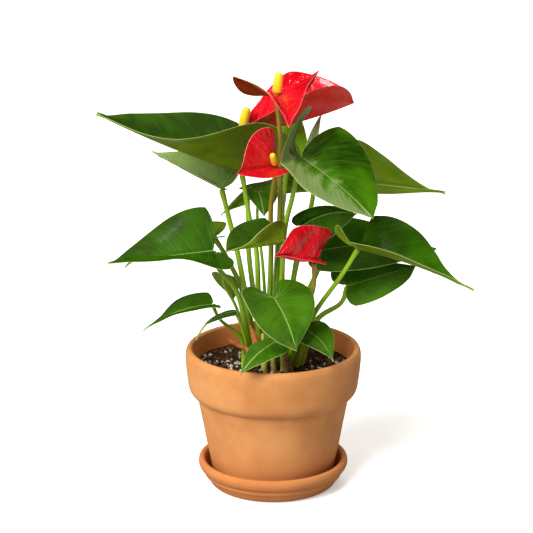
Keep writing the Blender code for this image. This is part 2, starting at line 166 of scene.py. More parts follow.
class Nodes:
    """A material's node tree, with short calls for the nodes used here."""

    def __init__(self, name):
        self.material = bpy.data.materials.new(name)
        self.material.use_nodes = True
        self.tree = self.material.node_tree
        self.bsdf = self.tree.nodes["Principled BSDF"]
        self.output = self.tree.nodes["Material Output"]

    def new(self, kind, **settings):
        node = self.tree.nodes.new("ShaderNode" + kind)
        for key, value in settings.items():
            setattr(node, key, value)
        return node

    def link(self, value, socket):
        """Joins a socket, or sets a plain value."""
        if isinstance(value, bpy.types.NodeSocket):
            self.tree.links.new(value, socket)
        elif isinstance(value, (tuple, list)) and len(value) == 3 and len(socket.default_value) == 4:
            socket.default_value = (*value, 1)
        else:
            socket.default_value = value

    def maths(self, operation, *values):
        node = self.new("Math", operation=operation)
        for value, socket in zip(values, node.inputs):
            self.link(value, socket)
        return node.outputs[0]

    def times(self, a, b):
        return self.maths("MULTIPLY", a, b)

    def step(self, value, low, high, to_low=0.0, to_high=1.0):
        """A smooth step of value from low to high."""
        node = self.new("MapRange", interpolation_type="SMOOTHSTEP")
        for given, socket in zip((value, low, high, to_low, to_high), node.inputs):
            self.link(given, socket)
        return node.outputs[0]

    def mix(self, factor, a, b):
        node = self.new("Mix", data_type="RGBA")
        self.link(factor, node.inputs[0])
        self.link(a, node.inputs[6])
        self.link(b, node.inputs[7])
        return node.outputs[2]

    def noise(self, scale, detail=3.0, vector=None, roughness=0.55):
        node = self.new("TexNoise")
        node.inputs["Scale"].default_value = scale
        node.inputs["Detail"].default_value = detail
        node.inputs["Roughness"].default_value = roughness
        self.link(self.place() if vector is None else vector, node.inputs["Vector"])
        return node.outputs["Fac"]

    def grain(self, across, along, detail, offset=0.0):
        """Noise over the piece's own uv, with its scale along uv.x and along uv.y."""
        u, v, _ = self.parts(self.uv())
        return self.noise(1.0, detail, self.joined(self.times(u, across), self.times(v, along), offset))

    def mottled(self, scale, detail, dark, light, low=0.3, high=0.7):
        """Two tones in soft patches."""
        return self.mix(self.step(self.noise(scale, detail), low, high), dark, light)

    def cells(self, scale):
        node = self.new("TexVoronoi")
        node.inputs["Scale"].default_value = scale
        self.link(self.place(), node.inputs["Vector"])
        return node.outputs["Distance"]

    def place(self):
        return self.new("TexCoord").outputs["Object"]

    def stretched(self, scales):
        node = self.new("Mapping")
        node.inputs["Scale"].default_value = scales
        self.link(self.place(), node.inputs["Vector"])
        return node.outputs[0]

    def number(self, name):
        """A float that the mesh carries."""
        return self.new("Attribute", attribute_name=name).outputs["Fac"]

    def uv(self):
        return self.new("UVMap", uv_map="grain").outputs["UV"]

    def parts(self, vector):
        node = self.new("SeparateXYZ")
        self.link(vector, node.inputs[0])
        return node.outputs

    def joined(self, x, y, z):
        node = self.new("CombineXYZ")
        for value, socket in zip((x, y, z), node.inputs):
            self.link(value, socket)
        return node.outputs[0]

    def bump(self, height, distance_mm, strength=1.0, before=None):
        node = self.new("Bump")
        node.inputs["Strength"].default_value = strength
        node.inputs["Distance"].default_value = distance_mm * MM
        self.link(height, node.inputs["Height"])
        if before is not None:
            self.link(before, node.inputs["Normal"])
        return node.outputs[0]

    def surface(self, **values):
        """Sets the shader's sockets, named with _ for each space."""
        for name, value in values.items():
            self.link(value, self.bsdf.inputs[name.replace("_", " ")])

    def let_light_through(self, colour, share):
        """Thin tissue passes a share of the light that falls on its other side."""
        glow = self.new("BsdfTranslucent")
        self.link(colour, glow.inputs["Color"])
        both = self.new("MixShader")
        both.inputs[0].default_value = share
        self.link(self.bsdf.outputs[0], both.inputs[1])
        self.link(glow.outputs[0], both.inputs[2])
        self.link(both.outputs[0], self.output.inputs["Surface"])


def vein_lines(n, width_mm, strength_near, strength_far):
    """How much of a side vein and of the midrib shows, 0 to 1.

    uv.x counts the side veins, and uv.y runs from the midrib to the margin.
    """
    u, v, _ = n.parts(n.uv())
    off = n.maths("ABSOLUTE", n.maths("SUBTRACT", n.maths("FRACT", n.maths("ADD", u, 0.5)), 0.5))
    off_mm = n.times(off, n.number("spread_mm"))
    line = n.step(off_mm, 0.0, width_mm, 1.0, 0.0)
    fade = n.step(v, 0.25, 0.95, strength_near, strength_far)
    basal = n.step(u, 3.5, 4.5, 1.0, 0.35)
    veins = n.times(n.times(line, fade), basal)
    thin = n.step(v, 0.0, 0.9, 0.62, 0.35)
    rib = n.step(n.number("rib_mm"), n.times(thin, 0.5), thin, 1.0, 0.0)
    return veins, rib


def leaf_top(name, deep, fresh, vein, glow, painted_sheen=0.05):
    """The glossy upper side: two tones, its veins' tone, its glow against the light and painted sheen, pale
    patches that stand in for the lamps' highlight.
    """
    n = Nodes(name)
    veins, rib = vein_lines(n, 0.75, 0.6, 0.12)
    u, v, _ = n.parts(n.uv())
    green = n.mottled(24.0, 2.0, deep, fresh, 0.35, 0.65)
    tissue = n.grain(5.0, 3.0, 3.0)
    green = n.mix(n.step(tissue, 0.35, 0.75, 0.0, 0.4), green, fresh)
    green = n.mix(n.step(n.number("rib_mm"), 0.5, 7.0, 0.35, 0.0), green, fresh)
    # Painted sheen: pale grey-green patches, stronger on one half and away from the stalk, in place of the
    # lamps' highlight.
    sheen_pattern = n.grain(1.3, 1.6, 4.0, 9.0)
    sheen_pattern = n.maths("ADD", sheen_pattern, n.times(n.number("sided"), 0.34))
    sheen_mask = n.times(n.step(sheen_pattern, 0.44, 0.68, 0.0, painted_sheen), n.step(u, 1.6, 3.4, 0.3, 1.0))
    green = n.mix(sheen_mask, green, (0.27, 0.36, 0.13))
    green = n.mix(veins, green, vein)
    star = n.times(n.step(u, 2.2, 3.6, 1.0, 0.0), n.step(v, 0.0, 0.7, 1.0, 0.0))
    green = n.mix(n.times(veins, star), green, (0.46, 0.62, 0.26))
    green = n.mix(n.times(rib, 0.65), green, (0.40, 0.56, 0.18))
    margin = n.step(n.number("edge_mm"), 0.15, 0.45, 1.0, 0.0)
    green = n.mix(margin, green, (0.42, 0.56, 0.16))
    streak = n.grain(7.0, 3.0, 4.0, 3.0)
    dents = n.bump(streak, 0.9, 0.6)
    dents = n.bump(n.noise(900.0, 2.0), 0.06, 0.5, dents)
    dents = n.bump(n.times(veins, -1.0), 0.4, 0.7, dents)
    n.surface(
        Base_Color=green, Roughness=n.step(streak, 0.3, 0.7, 0.22, 0.34), Normal=dents,
        Specular_IOR_Level=0.18)
    n.let_light_through(glow, 0.14)
    return n.material


def leaf_under(name, deep, fresh):
    """The matt underside, with raised veins."""
    n = Nodes(name)
    veins, rib = vein_lines(n, 0.6, 0.8, 0.1)
    green = n.mottled(45.0, 2.0, deep, fresh)
    green = n.mix(n.times(veins, 0.6), green, (0.30, 0.45, 0.05))
    green = n.mix(n.times(rib, 0.8), green, (0.38, 0.55, 0.07))
    margin = n.step(n.number("edge_mm"), 0.3, 0.7, 1.0, 0.0)
    green = n.mix(margin, green, (0.52, 0.64, 0.20))
    streak = n.grain(8.0, 4.0, 4.0, 7.0)
    dents = n.bump(streak, 0.5, 0.6)
    dents = n.bump(n.noise(1100.0, 2.0), 0.05, 0.5, dents)
    n.surface(
        Base_Color=green, Roughness=n.step(streak, 0.3, 0.7, 0.42, 0.55), Normal=dents,
        Specular_IOR_Level=0.3)
    n.let_light_through((0.26, 0.46, 0.01), 0.22)
    return n.material


def margin_skin(name, scale, dark, light, roughness):
    """The thin edge of a blade."""
    n = Nodes(name)
    n.surface(Base_Color=n.mix(n.noise(scale, 2.0), dark, light), Roughness=roughness)
    return n.material


def spathe_top():
    """The waxy, blistered upper side of a spathe."""
    n = Nodes("spathe_top")
    veins, rib = vein_lines(n, 0.9, 0.7, 0.2)
    red = n.mottled(34.0, 2.0, (0.58, 0.002, 0.008), (0.84, 0.008, 0.026))
    red = n.mix(n.times(veins, 0.20), red, (0.42, 0.003, 0.006))
    red = n.mix(n.times(rib, 0.25), red, (0.90, 0.06, 0.05))
    margin = n.step(n.number("edge_mm"), 0.2, 0.6, 1.0, 0.0)
    red = n.mix(n.times(margin, 0.6), red, (0.95, 0.30, 0.28))
    blister = n.grain(2.3, 3.5, 3.0)
    dents = n.bump(blister, 3.6, 0.8)
    dents = n.bump(n.noise(1400.0, 2.0), 0.03, 0.4, dents)
    n.surface(
        Base_Color=red, Roughness=n.step(blister, 0.3, 0.7, 0.12, 0.22), Normal=dents,
        Specular_IOR_Level=0.6, Coat_Weight=0.35, Coat_Roughness=0.08)
    n.let_light_through((0.85, 0.01, 0.02), 0.12)
    return n.material


def spathe_under(name, brown_from, brown_to):
    """The underside of a spathe: brown near its stalk and rosy red beyond."""
    n = Nodes(name)
    veins, rib = vein_lines(n, 0.8, 0.8, 0.3)
    body = n.step(n.number("along"), brown_from, brown_to)
    brown = n.mottled(40.0, 3.0, (0.13, 0.030, 0.004), (0.24, 0.060, 0.008))
    rose = n.mottled(55.0, 3.0, (0.80, 0.050, 0.045), (0.96, 0.130, 0.120))
    tone = n.mix(body, brown, rose)
    tone = n.mix(n.times(veins, 0.5), tone, (0.75, 0.20, 0.12))
    tone = n.mix(n.times(rib, 0.6), tone, (0.70, 0.30, 0.10))
    streak = n.grain(4.0, 4.0, 4.0, 5.0)
    n.surface(Base_Color=tone, Roughness=0.34, Normal=n.bump(streak, 1.6, 0.8))
    n.let_light_through((1.0, 0.09, 0.08), 0.34)
    return n.material


def stalk(name, low, high, joint, streaks, change=(0.0, 0.45)):
    """A petiole or peduncle: low and high are its colours below and above the change."""
    n = Nodes(name)
    height = n.parts(n.uv())[1]
    tone = n.mix(n.step(height, *change), low, high)
    lines = n.grain(26.0, 5.0, 3.0)
    tone = n.mix(n.step(lines, 0.35, 0.7, 0.0, 0.55), tone, streaks)
    tone = n.mix(n.step(n.noise(70.0, 2.0), 0.5, 0.75, 0.0, 0.35), tone, streaks)
    tone = n.mix(n.step(n.number("joint"), 0.0, 1.0), tone, joint)
    n.surface(
        Base_Color=tone, Roughness=0.36, Normal=n.bump(lines, 0.12, 0.7), Specular_IOR_Level=0.5,
        Subsurface_Weight=0.12, Subsurface_Radius=(0.6, 1.0, 0.2), Subsurface_Scale=0.0015)
    return n.material


def spadix_skin():
    """Golden yellow, deeper at the foot and paler on each floret's crown."""
    n = Nodes("spadix")
    height = n.parts(n.uv())[1]
    tone = n.mix(n.step(height, 0.05, 0.75), (0.62, 0.33, 0.008), (0.82, 0.60, 0.020))
    tone = n.mix(n.times(n.number("floret"), 0.35), tone, (0.95, 0.80, 0.07))
    tone = n.mix(n.step(n.noise(500.0, 2.0), 0.35, 0.75, 0.0, 0.35), tone, (0.82, 0.55, 0.02))
    n.surface(
        Base_Color=tone, Roughness=0.5, Normal=n.bump(n.noise(1800.0, 2.0), 0.06, 0.6),
        Subsurface_Weight=0.15, Subsurface_Radius=(1.0, 0.7, 0.2), Subsurface_Scale=0.0015)
    return n.material


def fired_clay():
    """Terracotta: mottled, dusty, stained, redder low down, brighter and redder inside as painted light,
    with grain and pits.
    """
    n = Nodes("terracotta")
    mottle = n.noise(26.0, 4.0)
    tone = n.mix(n.step(mottle, 0.3, 0.7), (0.490, 0.196, 0.060), (0.585, 0.264, 0.090))
    dust = n.noise(9.0, 5.0, n.stretched((1.0, 1.0, 2.2)), 0.6)
    tone = n.mix(n.step(dust, 0.52, 0.75, 0.0, 0.32), tone, (0.66, 0.36, 0.17))
    stain = n.noise(14.0, 3.0, n.stretched((1.0, 1.0, 0.5)))
    tone = n.mix(n.step(stain, 0.60, 0.80, 0.0, 0.30), tone, (0.40, 0.145, 0.045))
    x, y, z = n.parts(n.place())
    radius = n.maths("SQRT", n.maths("ADD", n.times(x, x), n.times(y, y)))
    tone = n.mix(n.step(z, 0.018, 0.055, 0.62, 0.0), tone, (0.455, 0.150, 0.042))
    # Painted light: the inner wall above the soil is made brighter and redder, in place of the light that
    # the leaves keep off it.
    painted_inner_light = n.times(n.step(radius, 0.0712, 0.0726, 1.0, 0.0), n.step(z, 0.08, 0.10))
    tone = n.mix(painted_inner_light, tone, (0.78, 0.250, 0.080))
    grain = n.noise(1500.0, 3.0, roughness=0.7)
    tone = n.mix(n.step(grain, 0.55, 0.8, 0.0, 0.35), tone, (0.70, 0.42, 0.22))
    pits = n.step(n.cells(420.0), 0.05, 0.16, 1.0, 0.0)
    tone = n.mix(n.times(pits, 0.45), tone, (0.30, 0.10, 0.03))
    turning = n.noise(1.0, 3.0, n.stretched((6.0, 6.0, 420.0)))
    dents = n.bump(turning, 0.24, 0.55)
    dents = n.bump(grain, 0.10, 0.55, dents)
    dents = n.bump(n.times(pits, -1.0), 0.12, 0.6, dents)
    n.surface(
        Base_Color=tone, Roughness=n.step(mottle, 0.2, 0.8, 0.78, 0.92), Normal=dents,
        Specular_IOR_Level=0.28)
    return n.material


def peat():
    """Dark potting mix with paler fibres."""
    n = Nodes("soil")
    tone = n.mottled(330.0, 5.0, (0.018, 0.009, 0.005), (0.085, 0.044, 0.021))
    tone = n.mix(n.step(n.noise(900.0, 2.0), 0.6, 0.78, 0.0, 0.5), tone, (0.16, 0.085, 0.035))
    n.surface(
        Base_Color=tone, Roughness=0.82, Normal=n.bump(n.noise(800.0, 4.0), 0.5, 0.8),
        Specular_IOR_Level=0.3)
    return n.material


def grains(name, dark, light, scale, roughness, specks=None):
    """A matt two-toned skin for lumps, bark, roots and leaf bases, with specks of a third tone."""
    n = Nodes(name)
    tone = n.mottled(scale, 4.0, dark, light)
    if specks:
        tone = n.mix(n.step(n.noise(scale * 4, 2.0), 0.62, 0.72, 0.0, 0.6), tone, specks)
    n.surface(Base_Color=tone, Roughness=roughness, Normal=n.bump(n.noise(scale * 3, 3.0), 0.25, 0.7))
    return n.material


# ---------------------------------------------------------------- meshes


def unit(v):
    """The vector or vectors at length 1."""
    return v / np.linalg.norm(v, axis=-1, keepdims=True)


def turn_round(sides):
    """Angles once round."""
    return np.linspace(0, 2 * math.pi, sides, endpoint=False)


def sheet_uv(across, along):
    """The uv of a grid of points stored row by row."""
    return np.stack(np.broadcast_arrays(across[None, :], along[:, None]), axis=-1).reshape(-1, 2)


def node_box(node):
    """Lowest and highest corner of a node's solid in the frame."""
    return [np.array(corner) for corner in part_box(node)]


def through(points, t):
    """Catmull-Rom curve through the points, at each t from 0 to 1."""
    points = np.asarray(points, float)
    count = len(points) - 1
    x = np.clip(np.asarray(t, float) * count, 0, count - 1e-9)
    i = x.astype(int)
    f = (x - i)[:, None]
    p = np.vstack([2 * points[0] - points[1], points, 2 * points[-1] - points[-2]])
    a, b, c, d = p[i], p[i + 1], p[i + 2], p[i + 3]
    cubic = (3 * b - a - 3 * c + d) * f**3
    return 0.5 * (2 * b + (c - a) * f + (2 * a - 5 * b + 4 * c - d) * f**2 + cubic)


def piece(name, points, faces, materials, replaces=(), kinds=None, uv=None, numbers=None):
    """A smooth closed mesh that rides on the root. uv and numbers have one value for each point."""
    mesh = bpy.data.meshes.new(name)
    mesh.from_pydata(np.asarray(points).tolist(), [], [list(face) for face in faces])
    corner = np.empty(len(mesh.loops), np.int32)
    mesh.loops.foreach_get("vertex_index", corner)
    if uv is not None:
        layer = mesh.uv_layers.new(name="grain")
        layer.data.foreach_set("uv", np.asarray(uv, np.float32)[corner].ravel())
    for key, values in (numbers or {}).items():
        layer = mesh.attributes.new(key, "FLOAT", "POINT")
        layer.data.foreach_set("value", np.asarray(values, np.float32))
    for material in materials:
        mesh.materials.append(material)
    if kinds is not None:
        mesh.polygons.foreach_set("material_index", np.asarray(kinds, np.int32))
    bm = bmesh.new()
    bm.from_mesh(mesh)
    bmesh.ops.remove_doubles(bm, verts=bm.verts, dist=4e-6)
    bmesh.ops.dissolve_degenerate(bm, dist=1e-7, edges=bm.edges)
    bmesh.ops.recalc_face_normals(bm, faces=bm.faces)
    bm.to_mesh(mesh)
    bm.free()
    mesh.polygons.foreach_set("use_smooth", [True] * len(mesh.polygons))
    obj = placed(name, mesh)
    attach(obj, "root")
    if replaces:
        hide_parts(*replaces)
    return obj


def quads(rows, columns, start=0, wrap=False):
    """Faces of a grid of points stored row by row. wrap joins the last column to the first."""
    i = np.arange(rows - 1)[:, None]
    j = np.arange(columns if wrap else columns - 1)[None, :]
    k = (j + 1) % columns
    a = i * columns + j
    b = i * columns + k
    return (start + np.stack([a, b, b + columns, a + columns], axis=-1)).reshape(-1, 4)


def tube_points(path, radii, sides):
    """Rings of points along a path, carried along it without twisting. radii may hold one row per ring."""
    heading = unit(np.gradient(path, axis=0))
    across = np.empty_like(path)
    side = np.cross(heading[0], (0.35, 1.0, 0.12))
    for i, way in enumerate(heading):
        side = side - (side @ way) * way
        side = side / np.linalg.norm(side)
        across[i] = side
    other = np.cross(heading, across)
    angle = turn_round(sides)[None, :, None]
    radii = np.asarray(radii)
    radii = np.repeat(radii[:, None], sides, axis=1) if radii.ndim == 1 else radii
    ring = across[:, None] * np.cos(angle) + other[:, None] * np.sin(angle)
    return path[:, None] + ring * radii[..., None]


def tube_faces(rings, sides):
    """Faces of a tube's rings, with a cap at each end."""
    faces = quads(rings, sides, wrap=True).tolist()
    faces.append(list(range(sides))[::-1])
    faces.append([(rings - 1) * sides + i for i in range(sides)])
    return faces


def tube(name, node, slot, material, path, radii, sides, run, **numbers):
    """A closed tube. Its uv goes from 0 to 1 round it, and follows run along it."""
    return piece(
        name, tube_points(path, radii, sides).reshape(-1, 3), tube_faces(len(path), sides), [material],
        [node], uv=sheet_uv(turn_round(sides) / (2 * math.pi), run), numbers=numbers)


def gathered(name, material, parts):
    """One piece from many loose parts, each given by its points and faces."""
    points, faces, start = [], [], 0
    for part_points, part_faces in parts:
        points.append(part_points)
        faces += [[start + i for i in face] for face in part_faces]
        start += len(part_points)
    return piece(name, np.concatenate(points), faces, [material])


# ---------------------------------------------------------------- the plant, as its solids have it

# A blade's grid and its solid's grid, the bend of its veins, and the sizes of its relief in mm.
LEAF_LOOK = dict(
    grid=(112, 22), solid_grid=(8, 2), bend=0.32, keel_mm=3.0, wave_mm=1.0, roll_mm=1.0, quilt_mm=0.45,
    rib_mm=1.0, vein_mm=0.22, thick_mm=0.26, fold_mm=0.0)
SPATHE_LOOK = dict(
    grid=(112, 26), solid_grid=(10, 3), bend=0.25, keel_mm=3.0, wave_mm=0.7, roll_mm=0.9, quilt_mm=0.40,
    rib_mm=0.9, vein_mm=0.20, thick_mm=0.30, fold_mm=0.5)
CREASED_LOOK = dict(SPATHE_LOOK, wave_mm=1.6, roll_mm=1.5, fold_mm=3.2)
LOOK_LENGTH = 0.09  # the length of blade that wave, roll and quilt are given for
TOP_SKIN, UNDER_SKIN, RIM_SKIN = 0, 1, 2
STALK_RINGS = 57
SHEATH_MM = 75.0  # how far up a stalk its wider foot reaches
JOINT_MM = 9.0  # how far the swelling reaches below the blade
FLORETS_AROUND = 11
FLORET_MM = 1.45
HUSK_CURL = 2.8  # how far round a dry sheath curls, in radians

# Where along the midrib the side veins to the points of a half outline start (0 stalk, 1 tip).
LEAF_ROOTS = (0, 0, 0, 0, 0, 0.02, 0.13, 0.32, 0.56, 0.82, 1)
SPATHE_ROOTS = (0, 0, 0, 0, 0, 0.03, 0.15, 0.34, 0.58, 0.83, 1)
LONG_ROOTS = (0, 0, 0, 0, 0.02, 0.08, 0.24, 0.45, 0.68, 0.88, 1)


def outline(roots, *points):
    """Half outline of a blade: along (0 stalk, 1 tip), across (1 half width) and side vein root."""
    return [(*point, root) for point, root in zip((*points, (1.0, 0.0)), roots)]


HEART = outline(
    LEAF_ROOTS, (-0.10, 0.10), (-0.235, 0.28), (-0.28, 0.52), (-0.215, 0.78), (-0.06, 0.95),
    (0.12, 1.00), (0.34, 0.90), (0.56, 0.66), (0.76, 0.35), (0.91, 0.10))
BROAD = outline(
    LEAF_ROOTS, (-0.10, 0.10), (-0.235, 0.28), (-0.28, 0.52), (-0.215, 0.78), (-0.06, 0.95),
    (0.14, 1.00), (0.40, 0.95), (0.64, 0.76), (0.83, 0.46), (0.94, 0.17))
DRIP = outline(
    LEAF_ROOTS, (-0.05, 0.12), (-0.10, 0.30), (-0.11, 0.55), (-0.05, 0.80), (0.05, 0.95), (0.20, 1.00),
    (0.40, 0.90), (0.57, 0.62), (0.71, 0.28), (0.84, 0.08))
MIDDLE = outline(
    LEAF_ROOTS, (-0.05, 0.10), (-0.08, 0.25), (-0.06, 0.45), (0.02, 0.64), (0.14, 0.82), (0.28, 0.95),
    (0.44, 1.00), (0.59, 0.68), (0.74, 0.33), (0.89, 0.06))
CURLED = outline(
    LEAF_ROOTS, (-0.10, 0.12), (-0.22, 0.40), (-0.29, 0.72), (-0.25, 0.88), (-0.10, 0.66), (0.12, 0.72),
    (0.40, 0.92), (0.64, 0.76), (0.83, 0.46), (0.94, 0.17))
CUPPED = outline(
    LEAF_ROOTS, (-0.10, 0.22), (-0.20, 0.52), (-0.20, 0.82), (-0.08, 1.00), (0.10, 1.00), (0.30, 0.82),
    (0.46, 0.52), (0.58, 0.26), (0.72, 0.10), (0.88, 0.03))
SPATHE = outline(
    SPATHE_ROOTS, (-0.12, 0.06), (-0.27, 0.26), (-0.32, 0.52), (-0.24, 0.80), (-0.05, 0.97),
    (0.17, 1.00), (0.42, 0.90), (0.64, 0.67), (0.82, 0.36), (0.93, 0.12))
WING = outline(
    SPATHE_ROOTS, (-0.10, 0.12), (-0.22, 0.40), (-0.27, 0.72), (-0.22, 0.93), (-0.08, 1.00),
    (0.07, 0.90), (0.25, 0.63), (0.46, 0.43), (0.66, 0.27), (0.85, 0.11))
FLAG = outline(
    SPATHE_ROOTS, (0.00, 0.30), (0.00, 0.60), (0.02, 0.85), (0.10, 0.98), (0.25, 1.00), (0.42, 0.91),
    (0.56, 0.73), (0.70, 0.44), (0.82, 0.19), (0.92, 0.06))
LEANING = outline(
    SPATHE_ROOTS, (-0.10, 0.30), (-0.20, 0.60), (-0.28, 0.86), (-0.18, 0.98), (0.00, 1.00),
    (0.20, 1.00), (0.42, 0.94), (0.62, 0.78), (0.78, 0.45), (0.90, 0.14))
SPATHE_FAR = outline(
    LONG_ROOTS, (-0.02, 0.08), (-0.04, 0.17), (-0.03, 0.27), (0.03, 0.38), (0.12, 0.53), (0.28, 0.79),
    (0.50, 1.00), (0.71, 0.86), (0.88, 0.59), (0.98, 0.28))
SPATHE_NEAR = outline(
    LONG_ROOTS, (0.00, 0.08), (0.00, 0.18), (0.01, 0.30), (0.04, 0.44), (0.12, 0.60), (0.28, 0.78),
    (0.50, 0.90), (0.72, 1.00), (0.90, 0.86), (0.99, 0.46))

# One entry per leaf. In mm: stalk, where the petiole meets the blade; tip, the drip tip; stem, the petiole
# from the soil up; thick, its radius. In degrees: left and right, how far each half rises at the stalk and
# at the tip; curl, how much further each back lobe rises. As shares: width, half width over length; arch,
# how far the midrib bows; share, the width of each half; relax, where along the blade the rise is that of
# the tip; lobe, the length of each back lobe; lift, how far it tilts up. outline: the shape of each half.
LEAVES = {
    "upper_left": dict(
        stalk=(-27, 6, 286), tip=(-148, -56, 351), width=0.36, left=(60, 12), right=(48, 38),
        arch=-0.02, relax=(0.7, 0.7), share=(1.03, 1), lobe=(1, 0.3),
        stem=[(-13, 1), (-14, 2, 205), (-21, 3, 246)]),
    "second_left": dict(
        stalk=(-45, 10, 270), tip=(-108, 40, 297), width=0.40, left=(26, 24), right=(50, 46),
        arch=-0.01, lobe=(0.5, 0.3), stem=[(-14, 8), (-30, 8, 204), (-39, 10, 243)], thick=2.3),
    "back_left": dict(
        stalk=(-24, 26, 262), tip=(-47, 30, 240), width=0.42, left=(-30, -20), right=(10, 0),
        arch=0.04, lobe=(0.5, 0.5), stem=[(-9, 16), (-21, 20, 200), (-22, 23, 238)]),
    "lower_left": dict(
        stalk=(-52, -20, 222), tip=(-142, -50, 219), width=0.43, left=(-10, 12), right=(60, 24),
        relax=(0.5, 0.9), lobe=(0.42, 0.15), share=(0.98, 1),
        stem=[(-19, -4), (-30, -10, 176), (-48, -16, 205)]),
    "lower_left_back": dict(
        stalk=(-53, 26, 222), tip=(-135, 50, 186), width=0.34, left=(16, 10), right=(14, 6),
        arch=0.08, lobe=(0.6, 0.25), stem=[(-20, 13), (-26, 19, 167), (-40, 24, 200)]),
    "folded": dict(
        stalk=(8, -30, 232), tip=(-40, -78, 238), width=0.46, left=(104, 90), right=(38, 32),
        share=(0.62, 0.95), lobe=(0.5, 0.2), outline=(CUPPED, BROAD),
        stem=[(4, -12), (6, -14, 172), (8, -25, 208)]),
    "nodding": dict(
        stalk=(-13, 24, 263), tip=(-8, 2, 246), width=0.65, left=(5, 5), right=(5, 5),
        arch=0.10, share=(0.9, 0.62), stem=[(-4, 16), (-9, 21, 193), (-14, 26, 236)], thick=1.4),
    "front_right": dict(
        stalk=(24, -25, 307), tip=(84, -72, 265), width=0.57, left=(26, 5), right=(2, 0),
        arch=0.03, relax=(0.9, 0.6), lobe=(0.3, 0.6), lift=(0, 0.5), curl=(0, 175),
        share=(1, 0.88), outline=(BROAD, CURLED), stem=[(7, -7), (9, -12, 225), (17, -20, 272)]),
    "back_right": dict(
        stalk=(10, 62, 265), tip=(156, 62, 253), width=0.315, left=(46, 46), right=(-12, -10),
        arch=0.02, share=(1, 0.6), outline=(MIDDLE, HEART),
        stem=[(12, 11), (7, 26, 205), (8, 50, 240)]),
    "upright": dict(
        stalk=(12, 39, 283), tip=(24, 69, 327), width=0.37, left=(8, 5), right=(8, 5),
        arch=0.10, lobe=(0.6, 0.6), stem=[(3, 16), (4, 24, 216), (9, 32, 252)]),
    "furled": dict(
        stalk=(34, 30, 295), tip=(43, 46, 331), width=0.17, left=(40, 30), right=(40, 30),
        arch=0.04, lobe=(0.2, 0.2), stem=[(8, 19), (22, 25, 207), (35, 29, 256)]),
    "mid_right": dict(
        stalk=(26, 8, 237), tip=(73, -8, 252), width=0.62, left=(112, 108), right=(-34, -48),
        arch=0.10, share=(0.4, 0.9), lobe=(0.4, 0.3), outline=(HEART, BROAD),
        stem=[(13, 2), (17, 6, 178), (23, 8, 212)]),
    "lower_right": dict(
        stalk=(74, -20, 224), tip=(172, -60, 198), width=0.365, left=(40, 22), right=(29, 26),
        arch=0.03, lobe=(0, 0.7), curl=(0, 50), outline=(DRIP, HEART), share=(1, 0.8),
        stem=[(20, -9), (34, -12, 157), (60, -18, 199)], thick=2.1),
    "low_right": dict(
        stalk=(66, 10, 181), tip=(128, 20, 197), width=0.44, left=(30, 30), right=(-26, -22),
        lobe=(0.6, 0.25), outline=(HEART, BROAD), stem=[(24, -2), (38, 2, 150), (60, 8, 165)]),
    "lower_right_back": dict(
        stalk=(43, 20, 211), tip=(147, 40, 206), width=0.34, left=(36, 30), right=(-17, -20),
        arch=0.05, lobe=(0.3, 0.55), outline=(HEART, BROAD),
        stem=[(19, 4), (29, 10, 168), (40, 16, 194)]),
    "front": dict(
        stalk=(1, -45, 186), tip=(20, -84, 151), width=0.65, left=(12, 5), right=(10, 5),
        arch=0.08, lobe=(1.3, 1.1), share=(0.91, 0.90), outline=(HEART, BROAD),
        stem=[(0, -15), (-1, -26, 156), (-1, -38, 175)]),
    "over_rim": dict(
        stalk=(1, -60, 151), tip=(-28, -92, 132), width=0.50, left=(-22, -12), right=(-4, 0),
        arch=0.08, share=(0.66, 0.66), lobe=(0.5, 0.7),
        stem=[(-7, -21), (-5, -32, 134), (0, -50, 144)], thick=1.4),
    "small_right": dict(
        stalk=(26, -34, 155), tip=(52, -64, 135), width=0.60, left=(8, 8), right=(4, 6),
        arch=0.12, lobe=(0.7, 0.6), share=(0.76, 1),
        stem=[(14, -20), (17, -24, 136), (24, -32, 149)], thick=1.4),
    "small_left": dict(
        stalk=(-53, -30, 176), tip=(-112, -56, 160), width=0.25, left=(2, 10), right=(26, 16),
        arch=0.08, lobe=(0.7, 0.4), outline=(DRIP, DRIP), share=(0.8, 1),
        stem=[(-26, -13), (-28, -17, 140), (-46, -25, 160)], thick=1.4),
    "arching": dict(
        stalk=(-33, -35, 171), tip=(-67, -44, 148), width=0.12, left=(-30, -10), right=(0, 0),
        arch=0.16, lobe=(0.3, 0.3), outline=(DRIP, DRIP),
        stem=[(-20, -12), (-24, -24, 141), (-29, -33, 161)], thick=1.3),
    "inner_left": dict(
        stalk=(-44, 8, 190), tip=(-36, 20, 163), width=0.44, left=(0, 0), right=(0, 0),
        arch=0.05, lobe=(0.6, 0.6), stem=[(-23, 3), (-31, 1, 158), (-43, 1, 183)], thick=1.3),
}

